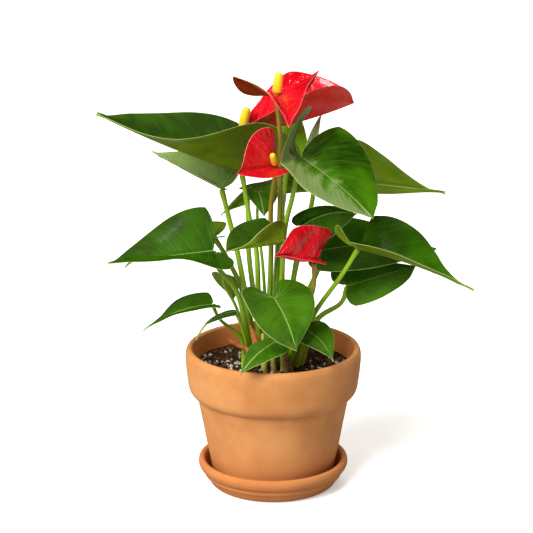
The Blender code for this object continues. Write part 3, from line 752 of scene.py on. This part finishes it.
# One entry per flower, as for the leaves. spadix: base, top and radius of the spike.
FLOWERS = {
    "top": dict(
        stalk=(3, -26, 358), tip=(13, -96, 348), width=0.50, left=(33, 16), right=(29, 52),
        arch=0.06, lift=(-0.78, -0.66), lobe=(1.0, 0.9), share=(1.24, 1.17), relax=(0.8, 0.8),
        outline=(WING, WING), stem=[(1, -3), (4, -3, 208), (6, -9, 265), (6, -18, 320)],
        spadix=[(3, -23, 360), (5, -22, 380), 4.1]),
    "back": dict(
        stalk=(-20, 25, 318), tip=(71, 33, 342.5), width=0.46, left=(76, 54), right=(38, 48),
        arch=-0.03, share=(1.06, 0.93), lobe=(0.2, 0), outline=(SPATHE_FAR, SPATHE_NEAR),
        stem=[(-2, 9), (3, 9, 203), (8, 15, 250), (2, 21, 285), (-10, 23, 306)],
        spadix=[(-27, 22, 321), (-23, 20, 341), 4.2]),
    "middle": dict(
        stalk=(2, -28, 299), tip=(-31, -66, 302), width=0.69, left=(-2, -18), right=(86, 72),
        lobe=(0.15, 0), share=(0.6, 1), outline=(SPATHE, FLAG),
        stem=[(-6, 0), (-2, -9, 208), (-2, -12, 256), (1, -21, 284)],
        spadix=[(2, -32, 301.5), (-1, -40, 313), 3.0]),
    "low": dict(
        stalk=(36, -33, 216), tip=(1, -61, 229), width=0.66, left=(6, 10), right=(85, 74),
        lobe=(0.4, 1), share=(0.4, 1), outline=(SPATHE, LEANING),
        stem=[(12, -13), (28, -20, 166), (35, -26, 190)],
        spadix=[(36, -28, 221), (31, -28, 231), 2.8]),
}


def blade_frame(leaf):
    """Both ends of a blade's midrib, its length and its upper side."""
    start = np.array(leaf["stalk"], float) * MM
    end = np.array(leaf["tip"], float) * MM
    length = np.linalg.norm(end - start)
    chord = (end - start) / length
    up = np.array([0.0, 0.0, 1.0])
    top = unit(up - (up @ chord) * chord)
    return start, end, length, top


def blade_half(leaf, index, t, v, bend=0.0, keel=0.0):
    """One half of a blade's mid surface at outline places t and vein places v.

    Gives the points, their upper side, the distance from the midrib and the share of the length.
    bend arches the veins, and keel is the half width of the rounded crease at the midrib.
    """
    start, end, length, top = blade_frame(leaf)
    knee = (start + end) / 2 + top * leaf.get("arch", 0) * 2 * length
    first = unit(knee - start)
    sign = (-1, 1)[index]
    shape = through(leaf.get("outline", (HEART, HEART))[index], t)
    lobe = leaf.get("lobe", (1, 1))[index]
    lift = leaf.get("lift", (0, 0))[index]
    curl = leaf.get("curl", (0, 0))[index]
    share = leaf.get("share", (1, 1))[index]
    relax = leaf.get("relax", (0.8, 0.8))[index]
    angles = leaf[("left", "right")[index]]
    out_along = np.where(shape[:, 0] < 0, shape[:, 0] * lobe, shape[:, 0])
    root = np.clip(shape[:, 2], 0, 1)
    a = root[:, None] + (out_along - root)[:, None] * v[None, :] ** (1 + bend)
    b = np.maximum(shape[:, 1], 0)[:, None] * v[None, :] ** (1 - 0.4 * bend)
    b = b * leaf["width"] * length * share
    s = np.clip(a / relax, 0, 1)
    s = s * s * (3 - 2 * s)
    rise = angles[0] + (angles[1] - angles[0]) * s
    rise = np.radians(rise + curl * np.clip(-a / 0.28, 0, 1))
    if keel:
        rise = rise * np.clip(b / keel, 0, 1) ** 0.5
    along = np.clip(a, 0, 1)[..., None]
    back = np.minimum(a, 0)[..., None]
    rib = (1 - along) ** 2 * start + 2 * along * (1 - along) * knee + along * along * end
    rib = rib + back * first * length + back**2 * top * lift * length * 4
    heading = unit((1 - along) * (knee - start) + along * (end - knee))
    normal = unit(top - (heading @ top)[..., None] * heading)
    sideways = np.cross(heading, normal)
    points = rib + sign * sideways * (b * np.cos(rise))[..., None] + normal * (b * np.sin(rise))[..., None]
    upper = normal * np.cos(rise)[..., None] - sign * sideways * np.sin(rise)[..., None]
    return points, upper, b, a


def settle(leaf, node, rows, columns):
    """How far the blade's solid in the frame lies from this script's own copy of its shape."""
    t, v = np.linspace(0, 1, rows + 1), np.linspace(0, 1, columns + 1)
    sheet = np.concatenate([blade_half(leaf, i, t, v)[0].reshape(-1, 3) for i in (0, 1)])
    low, high = node_box(node)
    return (low + high) / 2 - (sheet.min(axis=0) + sheet.max(axis=0)) / 2


def blade(name, node, leaf, look, materials):
    """A closed blade with a thick midrib, raised veins below, soft quilting above and a wavy margin."""
    rng = np.random.default_rng(SEED + sum(map(ord, name)))
    along, across = look["grid"]
    count = (along + 1) * (across + 1)
    t = np.linspace(0, 1, along + 1)
    s = np.linspace(0, 1, across + 1)
    v = 0.5 * s + 0.25 * (1 - np.cos(math.pi * s))
    tt, vv = np.meshgrid(t, v, indexing="ij")
    size = blade_frame(leaf)[2] / LOOK_LENGTH
    shift = settle(leaf, node, *look["solid_grid"])
    points, uvs, faces, kinds = [], [], [], []
    numbers = {"rib_mm": [], "edge_mm": [], "spread_mm": [], "along": [], "sided": []}
    for index in (0, 1):
        mid, upper, b, a = blade_half(leaf, index, t, v, look["bend"], look["keel_mm"] * MM)
        phase = rng.uniform(0, 1, 6)
        ends = np.clip(tt * 8, 0, 1) * np.clip((1 - tt) * 5, 0, 1)
        wave = np.sin(2 * math.pi * (1.6 * tt + phase[0]))
        wave = wave + 0.6 * np.sin(2 * math.pi * (3.3 * tt + phase[1]))
        roll = np.sin(2 * math.pi * (0.9 * tt + 0.7 * vv + phase[2]))
        height = look["wave_mm"] * wave * vv**2.5 * ends * size
        height += look["roll_mm"] * roll * np.sin(math.pi * vv) * size
        vein = np.abs(np.sin(math.pi * VEINS * tt)) ** 0.7
        plump = np.sin(math.pi * np.clip(vv * 1.05, 0, 1)) ** 0.8
        height += look["quilt_mm"] * vein * plump * size
        fold = np.abs(np.sin(math.pi * (2.6 * tt + 0.9 * vv + phase[3]))) ** 0.7
        height += look["fold_mm"] * (fold - 0.6) * plump
        mid = mid + upper * (height * MM)[..., None] + shift
        spread = np.linalg.norm(np.gradient(mid, axis=0), axis=-1) * along / VEINS / MM
        edge = np.linalg.norm(mid - mid[:, -1:], axis=-1) / MM
        near_vein = np.exp(-((np.abs((VEINS * tt + 0.5) % 1 - 0.5) * spread / 0.7) ** 2))
        taper = np.clip(1 - 0.72 * np.clip(a, 0, 1), 0, 1)
        rib = np.exp(-((b / MM / (look["rib_mm"] * taper + 0.05)) ** 2)) * look["rib_mm"] * taper
        thin = look["thick_mm"] * (0.35 + 0.65 * np.clip(edge / 1.2, 0, 1) ** 0.5)
        below = thin + 0.75 * rib + look["vein_mm"] * near_vein * (1 - vv) * np.clip(vv * 6, 0, 1)
        above = thin - 0.25 * rib
        carried = (b / MM, edge, spread, a, vv if index else -vv)
        for side, rise in ((1, above), (-1, below)):
            first = len(points) * count
            points.append((mid + side * upper * (rise * MM)[..., None]).reshape(-1, 3))
            uvs.append(np.stack([tt * VEINS, vv], axis=-1).reshape(-1, 2))
            for rows, values in zip(numbers.values(), carried):
                rows.append(values.ravel())
            made = quads(along + 1, across + 1, first)
            faces.append(made)
            kinds += [TOP_SKIN if side == 1 else UNDER_SKIN] * len(made)
        top_start = (len(points) - 2) * count
        low_start = top_start + count
        margin = range(across, count, across + 1)
        sinus = range(across + 1)
        for line in (margin, sinus):
            strip = [
                (top_start + p, top_start + q, low_start + q, low_start + p) for p, q in zip(line, line[1:])
            ]
            faces.append(np.array(strip))
            kinds += [RIM_SKIN] * len(strip)
    return piece(
        name, np.concatenate(points), np.concatenate(faces), materials, [node], kinds,
        np.concatenate(uvs), {key: np.concatenate(values) for key, values in numbers.items()})


def stem_route(leaf, shift):
    """The stalk's line, from just under the soil to the blade."""
    start, _end, _length, top = blade_frame(leaf)
    end = (start - top * 0.9 * MM) / MM
    points = [(*leaf["stem"][0], SOIL_TOP / MM), *leaf["stem"][1:], tuple(end)]
    path = through(np.array(points, float) * MM, np.linspace(0, 1, STALK_RINGS)) + shift
    below = path[0] - np.array([0, 0, 3.5 * MM])
    return np.vstack([below, path])


def stem(name, node, leaf, look, material, blade_node):
    """A stalk: a wider sheathed foot, a shallow groove on one side, and a swollen joint under the blade."""
    path = stem_route(leaf, settle(leaf, blade_node, *look["solid_grid"]))
    run = np.concatenate([[0], np.cumsum(np.linalg.norm(np.diff(path, axis=0), axis=1))]) / MM
    total = run[-1]
    thick = leaf.get("thick", 2.2)
    foot = np.clip(1 - run / SHEATH_MM, 0, 1) ** 1.2
    joint = np.exp(-(((total - run) / JOINT_MM) ** 4))
    radius = thick * (1.24 - 0.27 * run / total) * (1 + 0.42 * foot) * (1 + 0.20 * joint)
    radius[-1] *= 0.8
    sides = 20
    angle = turn_round(sides)
    groove = 1 - (0.13 + 0.12 * foot)[:, None] * np.exp(-(((angle - math.pi) / 0.55) ** 2))[None, :]
    radii = radius[:, None] * groove * MM
    return tube(
        name, node, "petiole", material, path, radii, sides, run / total, joint=np.repeat(joint, sides))


def spadix(name, node, spec, material):
    """The spike, set all over with low florets in crossing spirals."""
    low, high = node_box(node)
    base, tip = (np.array(end, float) * MM for end in spec[:2])
    centre = (low + high) / 2 - (base + tip) / 2
    base, tip = base + centre, tip + centre
    radius = spec[2] * MM
    length = np.linalg.norm(tip - base)
    rings = max(40, int(length / (0.16 * MM)))
    sides = 72
    t = np.linspace(0, 1, rings)
    share = through(
        [(0.36, 0), (0.60, 0), (0.97, 0), (1.0, 0), (0.97, 0), (0.90, 0), (0.80, 0), (0.56, 0), (0.06, 0)],
        np.interp(t, [0, 0.06, 0.16, 0.35, 0.55, 0.75, 0.88, 0.965, 1], np.linspace(0, 1, 9)))[:, 0]
    rows = length / (FLORET_MM * MM)
    turn = turn_round(sides)[None, :] * FLORETS_AROUND / 2
    climb = t[:, None] * rows * math.pi
    bump = np.abs(np.sin(turn + climb / 2) * np.sin(turn - climb / 2)) ** 0.6
    radii = radius * share[:, None] * (1 + 0.075 * bump) - 0.02 * radius
    path = base + (tip - base) * t[:, None]
    return tube(
        name, node, "spadix", material, path, np.maximum(radii, 0.02 * radius), sides, t,
        floret=bump.ravel())


# ---------------------------------------------------------------- pot, saucer and soil


def rounded(section, steps):
    """A finer section: each straight stays straight and each bend becomes a curve."""
    points = [np.array(p[:2], float) for p in section]
    fine = []
    for i, (point, (*_, bend)) in enumerate(zip(points, section)):
        if bend == 0 or i in (0, len(points) - 1):
            fine.append(point)
            continue
        before = points[i - 1] - point
        after = points[i + 1] - point
        reach = min(bend, 0.48 * np.linalg.norm(before), 0.48 * np.linalg.norm(after))
        a = point + unit(before) * reach
        b = point + unit(after) * reach
        for s in np.linspace(0, 1, steps):
            fine.append((1 - s) ** 2 * a + 2 * s * (1 - s) * point + s * s * b)
    return np.array(fine)


def spaced(line, step):
    """The same line with points no more than step apart."""
    out = [line[0]]
    for a, b in zip(line, line[1:]):
        count = max(1, int(math.ceil(np.linalg.norm(b - a) / step)))
        out += [a + (b - a) * (k + 1) / count for k in range(count)]
    return np.array(out)


def spun(radius, height, angle):
    """Points round the upright axis, row by row."""
    points = np.broadcast_arrays(radius * np.cos(angle), radius * np.sin(angle), height + 0 * angle)
    return np.stack(points, axis=-1).reshape(-1, 3)


def turned(name, node, section_mm, material, wobble_mm):
    """Turned clay: the section spun round the axis, with the small unevenness of thrown and fired clay."""
    low, high = node_box(node)
    line = spaced(rounded(section_mm, BEND_STEPS) * MM, ROW_STEP_MM * MM)
    line[:, 0] *= (high[0] - low[0]) / 2 / line[:, 0].max()
    line[:, 1] += low[2] - line[:, 1].min()
    sides = 220
    angle = turn_round(sides)
    radius, height = line[:, 0][:, None], line[:, 1][:, None]
    swell = np.sin(angle * 2 + 0.7) * 0.5 + np.sin(angle * 3 + height * 60) * 0.3
    swell = swell + np.sin(angle * 7 + height * 190) * 0.12
    radius = radius + wobble_mm * MM * swell * np.clip(radius / 0.05, 0, 1) ** 2
    rows = len(line)
    faces = quads(rows, sides, wrap=True).tolist()
    if line[0][0] > 1e-6:
        last = (rows - 1) * sides
        faces += [[last + i, last + (i + 1) % sides, (i + 1) % sides, i] for i in range(sides)]
    return piece(name, spun(radius, height, angle), faces, [material], [node])


BEND_STEPS = 7
ROW_STEP_MM = 2.2
# Sections: radius, height and how far the curve of the bend there reaches, in mm.
POT = [
    (6.5, 4.8, 0.8), (51.5, 4.8, 1.2), (53.6, 6.4, 1.5), (56.0, 20.0, 8), (60.0, 39.5, 8),
    (62.5, 54.0, 8), (66.0, 72.0, 4), (68.2, 83.2, 0.5), (71.8, 85.0, 2.4), (75.0, 89.2, 2.4),
    (76.1, 94.0, 4), (77.6, 106.0, 6), (78.5, 117.0, 5), (78.4, 123.6, 4.5), (76.6, 127.4, 2.2),
    (74.4, 128.0, 2.0), (72.2, 127.0, 2.0), (71.3, 123.0, 3.0), (69.8, 108.0, 6), (64.0, 82.0, 8),
    (54.5, 40.0, 8), (49.0, 13.0, 2.0), (47.0, 11.0, 1.5), (6.5, 11.0, 0.8),
]
SAUCER = [
    (0.0, 0.0, 0), (54.0, 0.0, 1.5), (56.5, 1.5, 1.5), (58.7, 5.0, 1.5), (60.0, 7.6, 1.0),
    (61.8, 8.6, 0.9), (62.4, 10.6, 0.9), (62.0, 12.2, 0.7), (64.0, 13.4, 0.9), (66.3, 15.8, 2.2),
    (67.5, 20.0, 3.0), (66.4, 23.6, 2.0), (64.4, 24.5, 1.5), (62.0, 23.8, 1.5), (60.8, 21.5, 2.0),
    (59.8, 15.0, 3), (58.6, 8.5, 2.5), (56.8, 5.0, 1.5), (55.0, 4.5, 1.0), (0.0, 4.5, 0),
]


def lumps(x, y):
    """Uneven ground from many small sine waves, about -1 to 1."""
    rng = np.random.default_rng(SEED)
    total = np.zeros_like(x)
    for scale, share in ((60, 0.40), (130, 0.30), (280, 0.22), (560, 0.16), (1100, 0.10)):
        for _ in range(4):
            way = rng.uniform(0, 2 * math.pi)
            phase = rng.uniform(0, 2 * math.pi)
            total += share * np.sin(scale * (x * math.cos(way) + y * math.sin(way)) * 2 + phase) / 2.4
    return total


def soil_height(x, y):
    """The uneven top of the soil: a low crown, a heap at the left, and lumps."""
    radius = np.hypot(x, y)
    crown = 0.0012 * np.exp(-((radius / 0.03) ** 2)) - 0.0010 * np.clip(radius / 0.069, 0, 1) ** 6
    heap = 0.0016 * np.exp(-(((x + 0.045) / 0.025) ** 2) - ((y + 0.01) / 0.04) ** 2)
    return SOIL_TOP + 0.0008 + crown + heap + 0.0015 * lumps(x, y)


def soil(material):
    """The bed of soil, narrower downwards like the pot."""
    bottom = node_box("soil")[0][2]
    rings, sides = 120, 300
    share = np.linspace(0, 1, rings)
    radius = SOIL_REACH * share[:, None]
    angle = turn_round(sides)[None, :]
    x, y = radius * np.cos(angle), radius * np.sin(angle)
    z = soil_height(x, y)
    top = np.stack([x, y, z], axis=-1).reshape(-1, 3)
    side_rows = [
        spun(SOIL_REACH - inset, height, angle)
        for height, inset in ((0.100, 0.0010), (0.080, 0.0060), (0.040, 0.0155), (bottom, 0.0230))
    ]
    points = np.concatenate([top, *side_rows])
    rows = rings + len(side_rows)
    faces = quads(rows, sides, wrap=True).tolist()
    faces.append([(rows - 1) * sides + i for i in range(sides)])
    return piece("soil_bed", points, faces, [material], ["soil"])


def pebble(rng, sizes, rough):
    """A small lump: a ball pressed flat on seven sides and then roughened."""
    bm = bmesh.new()
    bmesh.ops.create_icosphere(bm, subdivisions=2, radius=1.0)
    points = np.array([vert.co[:] for vert in bm.verts])
    faces = [[vert.index for vert in face.verts] for face in bm.faces]
    bm.free()
    ways = rng.normal(size=(7, 3))
    depth = rng.uniform(0.55, 0.95, 7)
    for way, d in zip(unit(ways), depth):
        over = points @ way - d
        points = points - np.clip(over, 0, None)[:, None] * way * 0.85
    points = points + rough * rng.normal(size=points.shape) * 0.06
    turn = np.linalg.qr(rng.normal(size=(3, 3)))[0]
    return (points * np.array(sizes)) @ turn.T, faces


def spots(rng, count, square, reach, lean=None):
    """Random places on the soil, within reach of its centre. lean gives the odds of keeping one."""
    made = 0
    while made < count:
        x, y = rng.uniform(-square, square, 2)
        if math.hypot(x, y) > reach or (lean is not None and rng.uniform() > lean(x, y)):
            continue
        yield x, y, float(soil_height(np.array([x]), np.array([y]))[0])
        made += 1


def scattered(name, material, count, sizes_mm, seed, rough, sink, lean=None):
    """Loose lumps on the soil."""
    rng = np.random.default_rng(seed)
    parts = []
    for x, y, z in spots(rng, count, 0.066, 0.0655, lean):
        size = rng.uniform(*sizes_mm) * MM / 2
        sizes = (size, size * rng.uniform(0.65, 1.0), size * rng.uniform(0.5, 0.8))
        points, faces = pebble(rng, sizes, rough)
        parts.append((points + np.array([x, y, z + size * (0.6 - sink)]), faces))
    return gathered(name, material, parts)


def chips(name, material, count, seed):
    """Flat slivers of bark lying at all angles."""
    rng = np.random.default_rng(seed)
    parts = []
    rings, sides = 6, 4
    for x, y, z in spots(rng, count, 0.064, 0.0625):
        length = rng.uniform(3.5, 9.0) * MM
        wide = length * rng.uniform(0.25, 0.5)
        thick = rng.uniform(0.5, 1.1) * MM
        heading = rng.uniform(0, 2 * math.pi)
        pitch = rng.normal() * 0.30
        level = math.cos(pitch)
        along = np.array([math.cos(heading) * level, math.sin(heading) * level, math.sin(pitch)])
        side = unit(np.cross(along, (0, 0, 1)) + rng.normal(size=3) * 0.2)
        up = np.cross(side, along)
        centre = np.array([x, y, z + thick * 0.7])
        points = []
        for s in np.linspace(-0.5, 0.5, rings):
            half = wide * 0.5 * (1 - (2 * s) ** 4 * 0.6) * rng.uniform(0.75, 1.05)
            bow = up * thick * (0.25 - s * s) * 3
            for p, q in ((-1, -1), (1, -1), (1, 1), (-1, 1)):
                jitter = rng.normal(size=3) * 0.00009
                corner = centre + along * s * length + side * p * half + up * q * thick / 2
                points.append(corner + bow + jitter)
        parts.append((np.array(points), tube_faces(rings, sides)))
    return gathered(name, material, parts)


def threads(name, material, routes):
    """Roots and leaf bases: each route is a list of points in mm with a radius at both ends."""
    parts = []
    rings, sides = 22, 10
    for route, first, last in routes:
        path = through(np.array(route, float) * MM, np.linspace(0, 1, rings))
        points = tube_points(path, np.linspace(first, last, rings) * MM, sides).reshape(-1, 3)
        parts.append((points, tube_faces(rings, sides)))
    return gathered(name, material, parts)


def husk(name, node, points_mm, widths_mm, material):
    """A dry papery sheath: a curled strip of the given widths, ragged and finely creased."""
    rng = np.random.default_rng(SEED + sum(map(ord, name)))
    steps, across = 40, 18
    run = np.linspace(0, 1, steps)
    path = through(np.array(points_mm, float) * MM, run)
    width = np.interp(run, np.linspace(0, 1, len(widths_mm)), widths_mm) * MM
    heading = unit(np.gradient(path, axis=0))
    side = unit(np.cross(heading, (0.3, 1.0, 0.2)))
    out = np.cross(side, heading)
    angle = np.linspace(-HUSK_CURL / 2, HUSK_CURL / 2, across)[None, :]
    fray = 1 + 0.10 * np.sin(np.linspace(0, 9, steps) + 1.0)[:, None] + rng.normal(size=(steps, 1)) * 0.03
    ring = side[:, None] * np.sin(angle)[..., None] - out[:, None] * np.cos(angle)[..., None]
    sheet = path[:, None] + ring * (width[:, None] * fray)[..., None]
    crease = 1 + 0.02 * np.sin(angle * 9)[..., None]
    outer = path[:, None] + (sheet - path[:, None]) * crease
    inner = outer - ring * (0.22 * MM)
    points = np.concatenate([outer.reshape(-1, 3), inner.reshape(-1, 3)])
    count = steps * across
    faces = quads(steps, across).tolist() + [face[::-1] for face in quads(steps, across, count).tolist()]
    border = list(range(across)) + [i * across + across - 1 for i in range(1, steps)]
    border += [(steps - 1) * across + j for j in range(across - 2, -1, -1)]
    border += [i * across for i in range(steps - 2, 0, -1)]
    for p, q in zip(border, border[1:] + border[:1]):
        faces.append([q, p, p + count, q + count])
    uv = sheet_uv(np.linspace(0, 1, across), run)
    return piece(name, points, faces, [material], [node], uv=np.concatenate([uv, uv]))


def paper():
    """Dry brown sheath with lengthwise fibres, which lets light through."""
    n = Nodes("dry_sheath")
    fibre = n.grain(30.0, 2.5, 4.0)
    tone = n.mix(n.step(fibre, 0.3, 0.7), (0.34, 0.10, 0.020), (0.68, 0.27, 0.07))
    tone = n.mix(n.step(n.noise(120.0, 3.0), 0.5, 0.72, 0.0, 0.6), tone, (0.16, 0.05, 0.015))
    n.surface(Base_Color=tone, Roughness=0.6, Normal=n.bump(fibre, 0.25, 0.8))
    n.let_light_through((0.75, 0.30, 0.06), 0.25)
    return n.material


def crown(name, material):
    """The short stem among the stalks, ringed where old leaves came off."""
    steps, sides = 60, 24
    run = np.linspace(0, 1, steps)
    path = through(np.array([(-1.5, 3, 107), (-1.5, 3, 114), (-2, 3, 119), (-2.5, 3.5, 123)]) * MM, run)
    scars = 1 + 0.07 * np.sin(run * 2 * math.pi * 5)
    radii = np.interp(run, [0, 0.35, 0.75, 0.97, 1], [3.4, 3.2, 2.7, 1.8, 0.7]) * MM * scars
    return tube(
        name, "crown", "petiole", material, path, radii, sides, run, joint=np.zeros(steps * sides))


# ---------------------------------------------------------------- everything together

# The skins of the leaves' upper sides: deep and fresh tone, the veins' tone, the glow, and the share of
# painted sheen if any.
LEAF_TONES = {
    "mature": ((0.013, 0.040, 0.001), (0.034, 0.118, 0.001), (0.12, 0.26, 0.03), (0.12, 0.34, 0.003)),
    "bright": ((0.024, 0.078, 0.002), (0.056, 0.170, 0.003), (0.16, 0.33, 0.04), (0.14, 0.42, 0.004)),
    # The next skin carries much painted sheen: pale patches over the leaf in place of the lamps' highlight.
    "heavy_painted_sheen": ((0.012, 0.042, 0.001), (0.060, 0.190, 0.002), (0.20, 0.34, 0.08), (0.16, 0.44, 0.004), 0.70),
    "young": ((0.120, 0.320, 0.003), (0.220, 0.460, 0.008), (0.36, 0.58, 0.06), (0.25, 0.60, 0.005)),
    "olive": ((0.070, 0.135, 0.003), (0.110, 0.185, 0.005), (0.20, 0.32, 0.03), (0.20, 0.36, 0.004)),
    "dark": ((0.012, 0.036, 0.003), (0.030, 0.070, 0.005), (0.05, 0.11, 0.02), (0.05, 0.12, 0.004)),
    # The next skin is a pale grey-green tone.
    "grey_green": ((0.230, 0.320, 0.120), (0.380, 0.470, 0.240), (0.44, 0.54, 0.28), (0.36, 0.46, 0.16)),
    # The next skin's grey-green tone is painted reflection: it stands in for the lamps' sheen on a leaf
    # that faces them.
    "pale": ((0.130, 0.235, 0.040), (0.240, 0.350, 0.100), (0.34, 0.46, 0.16), (0.22, 0.40, 0.02)),
}
# Which leaves have another skin than the mature one.
AGES = {
    "upright": "young", "nodding": "bright", "furled": "grey_green", "second_left": "pale", "arching": "dark",
    "back_right": "olive", "back_left": "olive", "lower_left_back": "olive", "front_right": "heavy_painted_sheen",
    "front": "bright", "over_rim": "bright", "low_right": "bright", "small_right": "bright",
}


def main():
    """Makes the whole scene."""
    make_camera()
    make_stage()
    clay = fired_clay()
    turned("clay_saucer", "saucer", SAUCER, clay, wobble_mm=0.12)
    turned("clay_pot", "pot", POT, clay, wobble_mm=0.18)
    soil(peat())
    scattered("soil_crumbs", peat(), 1100, (1.2, 3.6), SEED + 1, rough=1.4, sink=0.2)
    white = grains("perlite", (0.20, 0.17, 0.14), (0.68, 0.64, 0.58), 420.0, 0.85)
    scattered(
        "perlite_grains", white, 150, (1.4, 5.6), SEED + 2, rough=1.3, sink=0.3,
        lean=lambda x, y: 0.28 + 0.72 * (x < -0.02) * (y < 0.03))
    bark = grains("bark", (0.050, 0.018, 0.007), (0.19, 0.075, 0.026), 420.0, 0.78, (0.36, 0.18, 0.08))
    chips("bark_chips", bark, 130, SEED + 3)
    root_skin = grains("root", (0.13, 0.060, 0.022), (0.27, 0.14, 0.055), 260.0, 0.65)
    threads(
        "roots", root_skin,
        [
            ([(0, 4, 117), (8, -4, 119), (16, -12, 114), (20, -18, 107)], 1.5, 1.1),
            ([(-2, 2, 115), (2, -12, 117), (8, -22, 113), (12, -28, 107)], 1.4, 0.9),
            ([(-3, 5, 114), (-14, 6, 115), (-24, 0, 112), (-29, -6, 107)], 1.2, 0.8),
            ([(0, 6, 114), (10, 14, 115), (18, 20, 112), (24, 24, 107)], 1.3, 0.8),
        ])
    stub_skin = grains("leaf_base", (0.16, 0.13, 0.03), (0.40, 0.42, 0.10), 90.0, 0.50, (0.30, 0.17, 0.06))
    threads(
        "leaf_bases", stub_skin,
        [
            ([(-7, -22, 110), (-8, -25, 122), (-9, -27, 136), (-9, -26, 148)], 3.6, 1.6),
            ([(1, -22, 110), (0, -25, 121), (-1, -26, 133), (-2, -25, 144)], 3.2, 1.2),
            ([(9, -24, 110), (9, -26, 120), (8, -27, 129), (7, -27, 137)], 3.0, 1.8),
        ])
    threads(
        "old_node", root_skin,
        [
            ([(13, -27, 108), (12.5, -29, 116), (11, -30, 125), (9, -29, 132)], 3.4, 2.2),
            ([(17, -26, 108), (17, -28, 113), (15.5, -29, 119), (14, -28, 124)], 2.4, 1.4),
        ])
    paper_skin = paper()
    husk(
        "papery_sheath_left", "dry_sheath_left",
        [(-17.5, -27, 130), (-24, -27.5, 134.5), (-30, -27.5, 137.5), (-39, -27, 142.5)],
        [2.4, 2.9, 2.6, 2.0, 0.8], paper_skin)
    husk(
        "papery_sheath_tall", "dry_sheath_tall",
        [(-11, -24, 121), (-13, -26, 134), (-16, -28, 145), (-20.5, -28, 157)],
        [2.6, 4.2, 4.2, 2.6, 0.7], paper_skin)
    leaf_edge = margin_skin("leaf_margin", 160.0, (0.42, 0.55, 0.15), (0.62, 0.70, 0.32), roughness=0.45)
    below = leaf_under("leaf_underside", (0.150, 0.240, 0.004), (0.245, 0.350, 0.010))
    tops = {name: leaf_top("leaf_" + name, *tones) for name, tones in LEAF_TONES.items()}
    red = spathe_top()
    red_edge = margin_skin("spathe_margin", 150.0, (0.72, 0.03, 0.04), (0.92, 0.28, 0.24), roughness=0.3)
    brown_back = spathe_under("spathe_underside_brown", brown_from=0.02, brown_to=0.42)
    rosy_back = spathe_under("spathe_underside_rosy", brown_from=-0.05, brown_to=0.10)
    leaf_stalk = stalk(
        "petiole", (0.40, 0.52, 0.028), (0.27, 0.46, 0.012), (0.24, 0.38, 0.012), (0.14, 0.28, 0.006))
    flower_stalk = stalk(
        "peduncle", (0.22, 0.42, 0.015), (0.33, 0.20, 0.014), (0.34, 0.20, 0.02), (0.18, 0.22, 0.008),
        change=(0.35, 0.85))
    crown("crown_stem", leaf_stalk)
    for key, leaf in LEAVES.items():
        skins = [tops[AGES.get(key, "mature")], below, leaf_edge]
        blade("blade_" + key, "leaf_" + key, leaf, LEAF_LOOK, skins)
        stem("stalk_" + key, "petiole_" + key, leaf, LEAF_LOOK, leaf_stalk, "leaf_" + key)
    gold = spadix_skin()
    for key, flower in FLOWERS.items():
        skins = [red, brown_back if key == "top" else rosy_back, red_edge]
        look = CREASED_LOOK if key == "low" else SPATHE_LOOK
        blade("flower_" + key, "spathe_" + key, flower, look, skins)
        stem("flower_stalk_" + key, "peduncle_" + key, flower, look, flower_stalk, "spathe_" + key)
        spadix("spike_" + key, "spadix_" + key, flower["spadix"], gold)


main()
